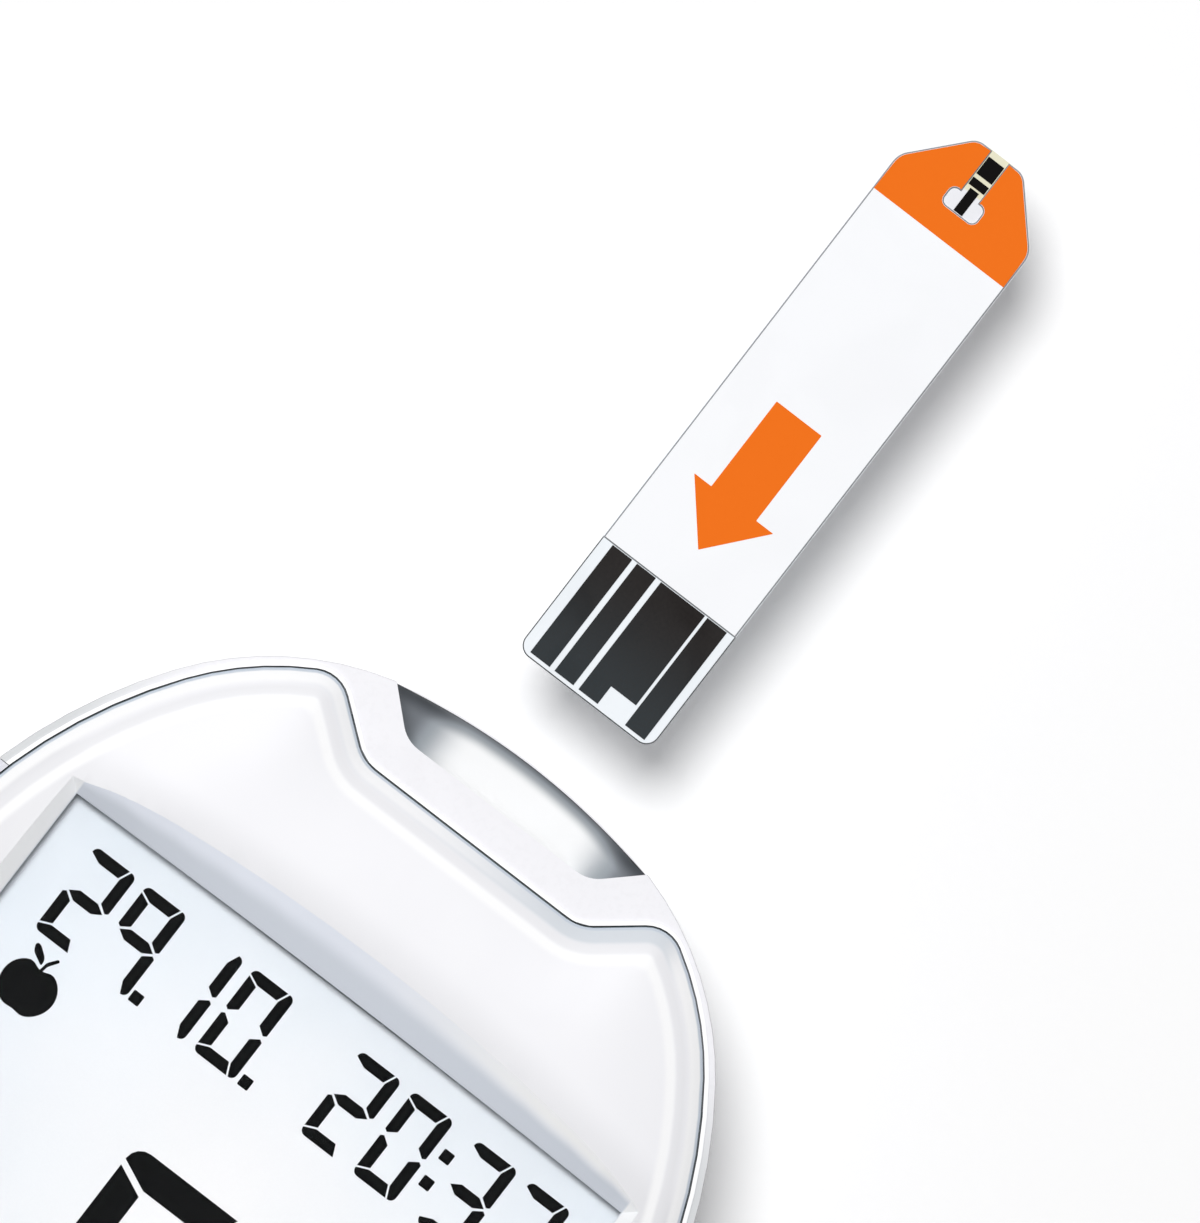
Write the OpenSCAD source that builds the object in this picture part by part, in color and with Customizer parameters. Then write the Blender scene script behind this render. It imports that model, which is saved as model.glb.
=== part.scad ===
// Oval hand-held blood glucose meter with a large display, three sprung keys,
// a coin-cell bay under a hinged door, and the test strip that slides into its top port.
// Frame: +Z points up through the display and +Y towards the strip port. The origin is
// on the rest face, under the middle of the housing's length and width.

/* [Housing outline] */
// Width of the housing at its widest line
body_w = 62; // [58:0.5:66]
// Length of the housing
body_l = 80; // [80:0.5:88]
// Height from the rest face to the top of the keys
body_h = 20; // [19.5:0.25:24]
// Distance from the top end to the widest line
widest_from_top = 32.6; // [31:0.2:34]
// Radius of the top end
top_r = 50; // [44:1:60]
// Radius of the upper shoulders
shoulder_r = 23; // [20:0.5:25]
// Radius of the upper sides
side_r = 38.5; // [36:0.5:42]
// Radius of the lower sides
low_side_r = 140; // [120:5:170]
// Radius of the lower shoulders
low_shoulder_r = 20; // [19:0.5:22]
// Radius of the bottom end
bottom_r = 34; // [32:0.5:38]

/* [Shells] */
// Wall of the rear and upper housings
wall = 1.6; // [1.4:0.1:2]
// Height of the joint between the rear and upper housings
parting_z = 8.6; // [8:0.1:9.2]
// Radius of the rounded edge round the base
base_round = 4; // [3:0.25:5]
// How far the rest pad stands below the rounded base
pad_lift = 0.15; // [0.1:0.05:0.4]
// Lean of the upper side wall towards the rim
wall_lean = 0.05; // [0.02:0.01:0.08]
// Width and depth of the shadow groove between the housings
groove = 0.2; // [0.1:0.05:0.35]

/* [Front cover] */
// Distance from the outline to the cover's seam at the top and bottom ends
seam_inset = 0.6; // [0.55:0.05:0.8]
// Extra distance to the seam at the sides
side_narrow = 0.38; // [0.2:0.02:0.5]
// Gap of the seam round the cover
seam_gap = 0.08; // [0.05:0.01:0.12]
// Width of the bright bead that frames the cover
bead_w = 0.32; // [0.24:0.02:0.34]
// Height of the bead above the port bridge
bead_h = 0.15; // [0.1:0.05:0.3]
// Height of the bead's top above the rest face
bead_z = 17.6; // [17.4:0.1:18]
// Width of the rolled edge round the cover
roll_w = 2.1; // [1.6:0.1:2.3]
// Size of the small chamfer at the foot of the rolled edge
edge_chamfer = 0.4; // [0.25:0.05:0.6]
// Rise of the crowned cover from its edge to the middle
dome_rise = 0.7; // [0.5:0.1:0.9]
// Thickness of the cover at its crown
cover_t = 2; // [1.8:0.1:2.2]
// Depth of the notch that lets the port bridge through
notch_d = 7.08; // [6.8:0.1:8]
// Width of the notch floor between its sharp corners
notch_w = 18.84; // [18:0.2:21]
// Slope of the notch sides
notch_slope = 38.4; // [36:0.5:45]
// Radius in the corners of the notch
notch_round = 3; // [2:0.25:4]
// Radius of the two humps beside the notch
hump_round = 2.5; // [2.4:0.1:3.2]

/* [Grips] */
// Reach of each side grip above the widest line
grip_above = 10.3; // [8:0.1:11]
// Reach of each side grip below the widest line
grip_below = 25.4; // [22:0.1:27]

/* [Strip port] */
// Depth of the port scoop from the top end
scoop_d = 4.08; // [4:0.1:4.6]
// Width of the scoop's inner edge between its sharp corners
scoop_w = 15.8; // [15.6:0.1:17]
// Slope of the scoop's ends in plan
scoop_slope = 43; // [40:1:48]
// Radius in the scoop's inner corners
scoop_round = 2.5; // [1.5:0.25:3]
// Radius of the rolled lip at the mouth
lip_r = 1.6; // [1:0.1:2]
// Clearance round the strip in its slot
slot_gap = 0.2; // [0.15:0.01:0.3]

/* [Display] */
// Distance from the display window to the widest line at each side
window_from_side = 7.25; // [7:0.05:9]
// Length of the display window
window_l = 38.5; // [36:0.5:39.5]
// Distance from the top end to the window
window_from_top = 20.95; // [20:0.1:21.5]
// How far the top edge of the bezel arches above its corners
bezel_arch = 2.2; // [1:0.1:2.6]
// Width of the bezel chamfer at the window's sides
bezel_side = 1.5; // [1:0.1:1.6]
// Width of the bezel chamfer at the corners of the top and bottom edges
bezel_end = 1.3; // [0.8:0.1:1.6]
// Thickness of the clear lens
lens_t = 1; // [0.8:0.1:1.2]
// Thickness of the liquid-crystal glass
glass_t = 1.9; // [1.6:0.1:2.2]

/* [Keys] */
// Diameter of the round power key
power_d = 9.5; // [8:0.25:10.5]
// Length of each arrow key
arrow_l = 11; // [9.5:0.25:11.5]
// Width of each arrow key
arrow_w = 6.4; // [5.5:0.1:7]
// Distance from the middle line to each arrow key
arrow_x = 12.8; // [12.6:0.1:13.6]
// Tilt of the arrow keys along the bottom edge
arrow_tilt = 20; // [10:1:26]
// Height of the keys above the cover's crown
key_proud = 0.6; // [0.55:0.05:0.9]
// Gap round each key in its hole
key_gap = 0.25; // [0.15:0.05:0.35]
// Width of the flange that keeps each key in
key_flange = 0.7; // [0.5:0.05:0.9]

/* [Circuit board] */
// Thickness of the circuit board
board_t = 1.2; // [1:0.1:1.6]
// Gap between the housing outline and the board's edge
board_inset = 3.2; // [3:0.1:3.8]
// Height of the board's underside
board_z = 7; // [6.9:0.1:7.2]

/* [Battery bay] */
// Diameter of a coin cell
cell_d = 20; // [19.5:0.1:20.4]
// Thickness of a coin cell
cell_h = 3.2; // [3:0.1:3.4]
// Thickness of the battery door
door_t = 1.2; // [1:0.1:1.3]
// Radius of the door's hinge barrel
barrel_r = 1.2; // [1:0.05:1.3]
// Radius of the door's hinge pins
pin_r = 0.6; // [0.45:0.05:0.7]
// Distance from the origin down to the hinge line
hinge_drop = 2.7; // [2.5:0.1:3.2]

/* [Fasteners] */
// Radius of the housing screws' shanks
screw_r = 1; // [0.9:0.05:1.1]
// Radius of the screw bosses
boss_r = 2.3; // [2.1:0.1:2.5]

/* [Test strip] */
// Width of the strip
strip_w = 11.6; // [11:0.1:12]
// Length of the strip
strip_l = 47.6; // [44:0.2:50]
// Thickness of the strip's base sheet
sheet_t = 0.35; // [0.3:0.05:0.4]
// Thickness of the strip's cover film
film_t = 0.15; // [0.1:0.05:0.2]
// Bare length that carries the contacts
bare_l = 9.8; // [9:0.1:10.5]
// Distance from the top end of the meter to the resting strip
strip_off = 5.7; // [5:0.1:8]
// Height of the strip's underside
strip_z = 12.2; // [12:0.05:12.4]

/* [Hidden] */

$fn = 48;
thin = 0.01;          // thickness of the slabs that a key cap is stretched over
chord_gap = 0.025;    // largest distance from an arc to the chords that stand for it
fit = 0.05;           // clearance between pieces that sit in each other
run = 0.08;           // radial clearance of a pin that turns in its hole
over = 1;             // how far a cutter runs past the face that it opens

top_y = body_l / 2;
window_w = body_w - 2 * window_from_side;
widest_y = top_y - widest_from_top;
crown_z = body_h - key_proud;
bridge_z = bead_z - bead_h;
ledge_t = 1.2;        // shelf inside the upper housing that carries the cover
ledge_w = 1.2;
ledge_z = bead_z - 1.6;
cover_wall = 1.2;
plate_z = crown_z - cover_t;
board_top = board_z + board_t;
floor_z = pad_lift + wall;
tongue_t = 0.7;       // lip of the upper housing inside the rear housing's wall
tongue_h = 1.2;

// Centre of the arc that blends two arcs, from distances to their centres
function meet(a, ra, b, rb, side) =
    let (v = b - a, d = norm(v), u = v / d, t = (ra * ra - rb * rb + d * d) / (2 * d))
    a + t * u + side * sqrt(max(0, ra * ra - t * t)) * [-u.y, u.x];

function angle_of(v) = atan2(v.y, v.x);

// The right half of the outline as tangent arcs, from the bottom end round to the top
// end. Each arc is its centre, radius, first angle and last angle.
function half_arcs(narrow) =
    let (
        half_w = body_w / 2 - narrow,
        top_c = [0, top_y - top_r],
        side_c = [half_w - side_r, widest_y],
        shoulder_c = meet(top_c, top_r - shoulder_r, side_c, side_r - shoulder_r, -1),
        low_side_c = [half_w - low_side_r, widest_y],
        bottom_c = [0, bottom_r - top_y],
        low_shoulder_c = meet(bottom_c, bottom_r - low_shoulder_r,
                              low_side_c, low_side_r - low_shoulder_r, 1),
        a_bottom = angle_of(low_shoulder_c - bottom_c),
        a_low = angle_of(low_shoulder_c - low_side_c),
        a_side = angle_of(shoulder_c - side_c),
        a_top = angle_of(shoulder_c - top_c)
    )
    [
        [bottom_c, bottom_r, -90, a_bottom],
        [low_shoulder_c, low_shoulder_r, a_bottom, a_low],
        [low_side_c, low_side_r, a_low, 0],
        [side_c, side_r, 0, a_side],
        [shoulder_c, shoulder_r, a_side, a_top],
        [top_c, top_r, a_top, 90]
    ];

function on_arc(arc, angle, inset) = arc[0] + (arc[1] - inset) * [cos(angle), sin(angle)];

function x_on_arc(arc, y, inset) = arc[0].x + sqrt(pow(arc[1] - inset, 2) - pow(y - arc[0].y, 2));

function arc_points(arc, inset) =
    let (n = max(2, ceil((arc[3] - arc[2]) / (2 * acos(1 - chord_gap / arc[1])))))
    [for (i = [0 : n - 1]) on_arc(arc, arc[2] + (arc[3] - arc[2]) * i / n, inset)];

// The whole outline, moved inwards by inset. Narrow takes the sides in a little more.
function outline(inset, narrow = 0) =
    let (
        half = [for (arc = half_arcs(narrow)) each arc_points(arc, inset)],
        n = len(half)
    )
    concat(half, [[0, top_y - inset]], [for (i = [n - 1 : -1 : 1]) [-half[i].x, half[i].y]]);

// Solid skinned over rings of points that all run anticlockwise, from the lowest up
module skin(rings) {
    n = len(rings[0]);
    last = len(rings) - 1;
    polyhedron(
        points = [for (r = rings) each r],
        faces = concat(
            [[for (i = [0 : n - 1]) i]],
            [for (k = [0 : last - 1], i = [0 : n - 1])
                [k * n + i, (k + 1) * n + i, (k + 1) * n + (i + 1) % n, k * n + (i + 1) % n]],
            [[for (i = [n - 1 : -1 : 0]) last * n + i]]));
}

function raised(points, z) = [for (p = points) [p.x, p.y, z]];

// The outline stretched over levels of [height, inset]
module loft(levels, narrow = 0) {
    skin([for (l = levels) raised(outline(l[1], narrow), l[0])]);
}

module both_sides() {
    children();
    mirror([1, 0, 0]) children();
}

// Rectangle with round corners, centred
module round_rect(w, l, r) {
    square([w - 2 * r, l], center = true);
    square([w, l - 2 * r], center = true);
    for (x = [-1, 1], y = [-1, 1]) translate([x * (w / 2 - r), y * (l / 2 - r)]) circle(r);
}

// Convex polygon with a round of its own at each corner
module round_poly(points, radii) {
    n = len(points);
    corner = [for (i = [0 : n - 1])
        let (
            p = points[i],
            a = points[(i + n - 1) % n] - p,
            b = points[(i + 1) % n] - p,
            ua = a / norm(a),
            ub = b / norm(b),
            half = acos(ua * ub) / 2,
            reach = radii[i] / tan(half),
            mid = (ua + ub) / norm(ua + ub)
        )
        [p + reach * ua, p + reach * ub, p + radii[i] / sin(half) * mid]];
    polygon([for (c = corner) each [c[0], c[1]]]);
    for (i = [0 : n - 1]) translate(corner[i][2]) circle(radii[i]);
}

// Bar of radius r along X, centred
module bar_x(l, r) {
    rotate([0, 90, 0]) cylinder(h = l, r = r, center = true);
}

/* Rear housing, battery bay and door */

rebate_gap = 0.1;                     // space between the door and the bay above it
door_z = 0.05;                        // the door lies this far inside the rest face
rebate_z = door_z + door_t + rebate_gap;
hinge_y = -hinge_drop;
hinge_z = door_z + barrel_r;
barrel_gap = 0.2;
pocket_gap = 0.3;                     // space round a cell in its pocket
pocket_r = cell_d / 2 + pocket_gap;
pocket_x = pocket_r + 0.6;            // half of the rib between the pockets is 0.6
pocket_y = hinge_y - barrel_r - barrel_gap - 0.7 - pocket_r;
cell_lip_t = 0.3;                     // lips under the cells
cell_z = rebate_z + cell_lip_t;
contact_h = 0.45;
pocket_top = cell_z + cell_h + contact_h;
bay_w = 2 * (pocket_x + pocket_r + 1.4);
bay_top = pocket_top + 0.7;
door_w = bay_w - 2.2;
door_gap = 0.15;
door_end_y = pocket_y - pocket_r - 0.8;
barrel_l = door_w - 5;
pin_l = 1.4;
cheek_reach = norm([barrel_r + barrel_gap, hinge_z]) + 0.15;

screw_inset = wall + boss_r + 2.3;
head_r = 2 * screw_r - 0.1;
// The lower screws stand just past the end of the door
low_screw_y = door_end_y - head_r - 1;
end_arc = half_arcs(0)[0];
end_arc_y = on_arc(end_arc, end_arc[3], screw_inset).y;
screw_spots = [
    on_arc(half_arcs(0)[4], 40, screw_inset),
    [x_on_arc(half_arcs(0)[low_screw_y < end_arc_y ? 0 : 1], low_screw_y, screw_inset), low_screw_y]
];
head_h = 1.3;
head_seat_z = floor_z + 0.2;
screw_top_z = parting_z + 4;

board_post = [12, 8];
post_r = 2;
board_screw_r = 0.8;
board_rest = [12, -20];

module at_screws() {
    both_sides() for (p = screw_spots) translate(p) children();
}

module at_board_posts() {
    both_sides() translate(board_post) children();
}

module base_shell() {
    steps = 5;
    round_levels = [for (i = [0 : steps])
        let (a = 90 * i / steps)
        [pad_lift + base_round * (1 - cos(a)), base_round * (1 - sin(a))]];
    difference() {
        loft(concat(round_levels, [[parting_z - groove, 0], [parting_z, groove]]));
        loft([[floor_z, wall + base_round - 1.2], [floor_z + base_round - 1.2, wall],
              [parting_z + over, wall]]);
    }
}

module bay_pockets() {
    for (x = [-1, 1]) translate([x * pocket_x, pocket_y, -over])
        cylinder(h = pocket_top + over, r = pocket_r);
}

module door_opening() {
    far_y = door_end_y - door_gap;
    w = door_w + 2 * door_gap;
    step_y = hinge_y - barrel_r - barrel_gap;
    // plate of the door
    translate([-w / 2, far_y, -over]) cube([w, step_y - far_y, rebate_z + over]);
    // hinge barrel and the groove that it swings through
    translate([0, hinge_y, hinge_z]) bar_x(barrel_l + 2 * barrel_gap, barrel_r + barrel_gap);
    translate([-barrel_l / 2 - barrel_gap, step_y - over, -over])
        cube([barrel_l + 2 * barrel_gap, 2 * (barrel_r + barrel_gap) + over, hinge_z + over]);
    // pin holes
    translate([0, hinge_y, hinge_z])
        bar_x(barrel_l + 2 * barrel_gap + 2 * pin_l + 0.4, pin_r + run);
    // finger scallop at the free end
    translate([0, far_y - 0.4, -2.2]) bar_x(11, 3.2);
}

module rear_housing() color("gainsboro") {
    difference() {
        union() {
            base_shell();
            linear_extrude(floor_z) polygon(outline(base_round + 1.2));
            translate([-bay_w / 2, door_end_y - 1.4, pad_lift])
                cube([bay_w, hinge_y + 3 - door_end_y + 1.4, bay_top - pad_lift]);
            at_screws() translate([0, 0, pad_lift + 0.2])
                cylinder(h = parting_z - pad_lift - 0.2, r = boss_r);
            at_board_posts() translate([0, 0, pad_lift + 0.2])
                cylinder(h = board_z - pad_lift - 0.2, r = post_r);
            both_sides() translate([board_rest.x, board_rest.y, bay_top - 0.4])
                cylinder(h = board_z - bay_top + 0.4, r = 1.5);
        }
        door_opening();
        bay_pockets();
        at_screws() {
            translate([0, 0, -over]) cylinder(h = head_seat_z + over, r = head_r + 0.2);
            translate([0, 0, head_seat_z - over])
                cylinder(h = parting_z + 2 * over, r = screw_r + 0.15);
        }
        at_board_posts() translate([0, 0, floor_z + 1])
            cylinder(h = board_z, r = board_screw_r + fit);
    }
    // lips that hold the cells up in their pockets
    for (x = [-1, 1], a = [0 : 90 : 270])
        translate([x * pocket_x, pocket_y, rebate_z]) intersection() {
            difference() {
                cylinder(h = cell_lip_t, r = pocket_r + fit);
                translate([0, 0, -over]) cylinder(h = cell_lip_t + 2 * over, r = cell_d / 2 - 0.5);
            }
            rotate(a + 45) translate([0, -2, -over]) cube([cell_d, 4, 3]);
        }
}

module battery_door() color("gainsboro") {
    plate_y = hinge_y - cheek_reach;
    difference() {
        union() {
            translate([0, (door_end_y + plate_y) / 2, door_z]) linear_extrude(door_t)
                round_rect(door_w, plate_y - door_end_y, 0.8);
            translate([-barrel_l / 2, plate_y - 1.5, door_z])
                cube([barrel_l, hinge_y - plate_y + 1.5, door_t]);
            translate([0, hinge_y, hinge_z]) bar_x(barrel_l, barrel_r);
            translate([0, hinge_y, hinge_z]) bar_x(barrel_l + 2 * barrel_gap + 2 * pin_l, pin_r);
        }
        // ridges under the finger at the free end
        for (i = [0 : 3]) translate([0, door_end_y + 1.6 + 1.1 * i, door_z - 0.1])
            bar_x(9 - i, 0.35);
    }
}

module coin_cell(side) color("silver") {
    rim_h = 0.5;
    translate([side * pocket_x, pocket_y, cell_z]) {
        rotate_extrude() polygon([
            [0, 0], [cell_d / 2 - 0.3, 0], [cell_d / 2, 0.3], [cell_d / 2, cell_h - rim_h - 0.2],
            [cell_d / 2 - 0.4, cell_h - rim_h], [cell_d / 2 - 1.2, cell_h - rim_h],
            [cell_d / 2 - 1.4, cell_h], [0, cell_h]
        ]);
    }
}

module coin_cell_left() { coin_cell(-1); }

module coin_cell_right() { coin_cell(1); }

module cell_contacts() color("goldenrod") {
    leaf_t = 0.2;
    tab_w = 1.6;
    tab_z = cell_z + 0.4;
    tab_gap = 0.02;
    for (x = [-1, 1]) translate([x * pocket_x, pocket_y, 0]) {
        // leaf on the ceiling of the pocket with its bowed tongue on the cell
        translate([0, 0, pocket_top - leaf_t / 2]) cube([5, 12, leaf_t], center = true);
        translate([0, 0, cell_z + cell_h]) cylinder(h = contact_h - leaf_t + fit, r = 1.6);
        // tab at the rim of the cell
        translate([-tab_w / 2, cell_d / 2 + tab_gap, tab_z])
            cube([tab_w, leaf_t, pocket_top - tab_z]);
    }
}

/* Upper housing with the port bridge */

// Outline of a cut that opens at the top end: a flat floor with a round in each corner
// and sloping sides. Grow moves its whole edge outwards.
function mouth_points(depth, w, slope, round_r, grow) =
    let (
        floor_y = top_y - depth - grow,
        far_y = top_y + 5,
        r = round_r + grow,
        reach = r * tan(slope / 2),
        floor_x = w / 2 + grow * tan(slope / 2),
        right = concat(
            [for (i = [0 : round_steps])
                [floor_x - reach + r * sin(slope * i / round_steps),
                 floor_y + r * (1 - cos(slope * i / round_steps))]],
            [[floor_x + (far_y - floor_y) / tan(slope), far_y]])
    )
    concat(right, [for (i = [len(right) - 1 : -1 : 0]) [-right[i].x, right[i].y]]);

round_steps = 6;

function notch_points(grow = 0) =
    mouth_points(notch_d, notch_w, notch_slope, notch_round, grow);

module scoop_plan(grow = 0) {
    polygon(mouth_points(scoop_d, scoop_w, scoop_slope, scoop_round, grow));
}

// The hump is a circle that touches the notch side and the shoulder arc from inside
cover_shoulder = half_arcs(side_narrow)[4];
notch_out = [-sin(notch_slope), cos(notch_slope)];
hump_c =
    let (
        start = [notch_w / 2, top_y - notch_d] - hump_round * notch_out,
        way = [cos(notch_slope), sin(notch_slope)],
        v = start - cover_shoulder[0],
        reach = cover_shoulder[1] - seam_inset - hump_round,
        b = v * way
    )
    start + (sqrt(b * b - v * v + reach * reach) - b) * way;

hump_angle = angle_of(hump_c - cover_shoulder[0]);
hump_steps = 6;

// Right half of the cover's edge moved inwards by inset, from the bottom end up the side,
// over the hump and down into the notch
function cover_half(inset) =
    let (
        arcs = half_arcs(side_narrow),
        shoulder = [arcs[4][0], arcs[4][1], arcs[4][2], hump_angle],
        hump = [hump_c, hump_round - inset, hump_angle, 90 + notch_slope],
        notch = notch_points(inset)
    )
    concat(
        [for (i = [0 : 3]) each arc_points(arcs[i], seam_inset + inset)],
        arc_points(shoulder, seam_inset + inset),
        [for (i = [0 : hump_steps])
            on_arc(hump, hump[2] + (hump[3] - hump[2]) * i / hump_steps, 0)],
        [for (i = [round_steps : -1 : 0]) notch[i]]);

function both_halves(half) =
    concat(half, [for (i = [len(half) - 1 : -1 : 1]) [-half[i].x, half[i].y]]);

function cover_points(inset) = both_halves(cover_half(inset));

// Where the crown ends, point for point with cover_half. Past the shoulder it runs straight
// down towards the middle, spaced as the hump and the notch side are.
function crown_half(inset) =
    let (
        arcs = half_arcs(side_narrow),
        shoulder = [arcs[4][0], arcs[4][1], arcs[4][2], hump_angle],
        edge = cover_half(0),
        last = len(edge) - 1,
        first = last - hump_steps - round_steps - 1,
        way = [for (i = first, s = 0; i <= last;
                    i = i + 1, s = s + (i > last ? 0 : norm(edge[i] - edge[i - 1]))) s],
        start = on_arc(shoulder, hump_angle, inset),
        end = [notch_w / 3, top_y - notch_d - inset]
    )
    concat(
        [for (i = [0 : 3]) each arc_points(arcs[i], inset)],
        arc_points(shoulder, inset),
        [for (s = way) start + (end - start) * s / way[len(way) - 1]]);

// Plan of the front cover, moved inwards by inset
module cover_plan(inset = 0) {
    polygon(cover_points(inset));
}

rim_round = 0.15;
upper_levels = [
    [parting_z, groove], [parting_z + groove, 0], [parting_z + 3, 0],
    [bridge_z - rim_round, wall_lean], [bridge_z, wall_lean + rim_round / 3]
];

grip_top_y = widest_y + grip_above;
grip_end_y = widest_y - grip_below;
grip_z = parting_z + 1.8;

// Slice of the side wall that a grip fills, outside the cover's seam
module grip_slice(gap) {
    intersection() {
        translate([body_w / 4, grip_end_y - gap, grip_z - gap])
            cube([body_w, grip_top_y - grip_end_y + 2 * gap, body_h]);
        difference() {
            translate([-body_w, -body_l, 0]) cube([2 * body_w, 2 * body_l, body_h + over]);
            translate([0, 0, -over]) linear_extrude(body_h + 3 * over)
                polygon(outline(seam_inset - seam_gap + gap, side_narrow));
        }
    }
}

module bead() {
    translate([0, 0, bridge_z - 0.5]) linear_extrude(0.5 + bead_h) difference() {
        cover_plan(-seam_gap - bead_w);
        cover_plan(-seam_gap);
    }
}

scoop_floor_z = strip_z - slot_gap;
scoop_base_z = scoop_floor_z - lip_r - 0.3;
scoop_wall = 1.1;      // wall round the scoop inside the housing

module upper_shell() {
    difference() {
        loft(upper_levels);
        translate([0, 0, parting_z - over]) linear_extrude(ledge_z - ledge_t - parting_z + over)
            polygon(outline(wall));
        translate([0, 0, parting_z]) linear_extrude(body_h)
            cover_plan(ledge_w);
        translate([0, 0, ledge_z]) linear_extrude(body_h)
            cover_plan(-seam_gap);
    }
    bead();
}

module upper_housing() color("white") difference() {
    union() {
        upper_shell();
        // tongue inside the rear housing's wall
        translate([0, 0, parting_z - tongue_h]) linear_extrude(tongue_h + 1) difference() {
            polygon(outline(wall + fit));
            polygon(outline(wall + fit + tongue_t));
        }
        translate([0, 0, parting_z]) linear_extrude(1) difference() {
            polygon(outline(wall - 0.3));
            polygon(outline(wall + fit + tongue_t));
        }
        // screw bosses tied to the wall by ribs
        at_screws() translate([0, 0, parting_z]) cylinder(h = screw_top_z - parting_z + 0.8, r = boss_r);
        at_screw_ribs();
    }
    at_screws() translate([0, 0, parting_z - over])
        cylinder(h = screw_top_z - parting_z + over + 0.2, r = screw_r + 0.03);
    translate([0, 0, scoop_base_z - fit]) linear_extrude(body_h) scoop_plan(fit);
    both_sides() grip_slice(fit);
}

// Rib from each screw boss out to the wall, within the housing
module at_screw_ribs() {
    intersection() {
        both_sides() for (p = screw_spots)
            translate([p.x, p.y - 0.5, parting_z]) cube([body_w / 2, 1, screw_top_z - parting_z]);
        translate([0, 0, parting_z]) linear_extrude(body_h) polygon(outline(wall - 0.3));
    }
}

module grip_right() color("lavender") intersection() {
    union() {
        loft(upper_levels);
        bead();
    }
    grip_slice(0);
}

module grip_left() { mirror([1, 0, 0]) grip_right(); }

/* Port scoop: dished guide with a rolled lip, and the slot in its back wall */

dish_flat = strip_w / 2 + slot_gap;
dish_r = bridge_z - scoop_floor_z;
floor_steps = 3;
dish_steps = 6;
lip_steps = 4;

// Section across the dish, open above, from its middle to the right: a flat floor that turns
// up at the end. Drop lowers the floor, and dies out up the end.
function dish_half(drop) = concat(
    [for (i = [0 : floor_steps - 1]) [dish_flat * i / floor_steps, scoop_floor_z - drop]],
    [for (i = [0 : dish_steps])
        let (a = 90 * i / dish_steps, r = dish_r + drop * cos(a))
        [dish_flat + r * sin(a), scoop_floor_z + dish_r - r * cos(a)]],
    [[dish_flat + dish_r, body_h + over]]);

// The whole section, from the top of its left end to the top of its right end
function dish_points(drop) =
    let (half = dish_half(drop))
    concat([for (i = [len(half) - 1 : -1 : 1]) [-half[i].x, half[i].y]], half);

// The section at a place along Y. A bowed one runs parallel to the housing's top end.
function dish_ring(y, drop, bowed = true) =
    [for (p = dish_points(drop))
        [p.x, p.y, (bowed ? top_r - sqrt(top_r * top_r - p.x * p.x) : 0) - y]];

module dish() {
    lip_y = top_y - lip_r;
    rotate([90, 0, 0]) skin(concat(
        [dish_ring(top_y + over, lip_r, false)],
        [for (i = [lip_steps : -1 : 0])
            let (a = 90 * i / lip_steps)
            dish_ring(lip_y + lip_r * sin(a), lip_r * (1 - cos(a)))],
        [dish_ring(top_y - scoop_d - over, 0, false)]));
}

module port_scoop() color("slategray") difference() {
    union() {
        // what shows in the mouth, flush with the housing's top end
        difference() {
            intersection() {
                translate([0, 0, scoop_base_z]) linear_extrude(bridge_z - 0.1 - scoop_base_z)
                    scoop_plan(fit / 2);
                translate([0, top_y - top_r, scoop_base_z - over])
                    cylinder(h = body_h, r = top_r - wall_lean - 0.1, $fn = 96);
            }
            dish();
        }
        // wall round it, under the bridge
        translate([0, 0, scoop_base_z])
            linear_extrude(ledge_z - ledge_t - fit - scoop_base_z) difference() {
                intersection() {
                    scoop_plan(scoop_wall);
                    polygon(outline(wall + fit));
                }
                scoop_plan();
            }
    }
    // slot for the strip
    translate([-dish_flat, top_y - scoop_d - scoop_wall - over, scoop_floor_z])
        cube([2 * dish_flat, scoop_wall + 2 * over, sheet_t + film_t + 2 * slot_gap]);
}

/* Front cover, lens and display stack */

window_y = top_y - window_from_top - window_l / 2;
bezel_low_z = crown_z - 1.35;
lens_top_z = bezel_low_z - 0.35;
lens_margin = 1.3;
window_arch = 0.3;

// Edge that arches outwards between its two ends, from the right end to the left
function arched(x, y, rise) =
    [for (i = [0 : arch_steps]) let (t = 1 - 2 * i / arch_steps) [x * t, y + rise * (1 - t * t)]];

arch_steps = 12;

function window_points(w, l, rise) = concat(arched(w, l, rise), -1 * arched(w, l, rise));

// Chamfered frame round the window and the straight opening under it
module bezel_cut() {
    w = window_w / 2;
    l = window_l / 2;
    translate([0, window_y, 0]) {
        skin([
            raised(window_points(w, l, window_arch), lens_top_z - over),
            raised(window_points(w, l, window_arch), bezel_low_z),
            raised(window_points(w + bezel_side, l + bezel_end, bezel_arch), crown_z),
            raised(window_points(w + bezel_side, l + bezel_end, bezel_arch), crown_z + over)
        ]);
    }
}

// The cover's edge is a small chamfer, then a roll, and then the crown rises to the middle
roll_z = bead_z + edge_chamfer;
roll_h = crown_z - dome_rise - roll_z;
roll_steps = 3;
dome_w = 9;
dome_steps = 4;

// Height and inset of the roll, a share t of the way in
function roll_at(t) =
    [roll_z + roll_h * (1 - pow(1 - t, 2)), edge_chamfer + (roll_w - edge_chamfer) * t];

// Height of the crown, a share t of the way in
function dome_at(t) = crown_z - dome_rise * pow(1 - t, 2);

crown_rings = concat(
    [raised(cover_points(0), ledge_z), raised(cover_points(0), bead_z)],
    [for (i = [0 : roll_steps]) let (l = roll_at(i / roll_steps)) raised(cover_points(l[1]), l[0])],
    [for (i = [1 : dome_steps])
        let (
            t = i / dome_steps,
            edge = cover_half(roll_w),
            crown = crown_half(dome_w)
        )
        raised(both_halves([for (j = [0 : len(edge) - 1]) edge[j] + (crown[j] - edge[j]) * t]),
               dome_at(t))]);

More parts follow.
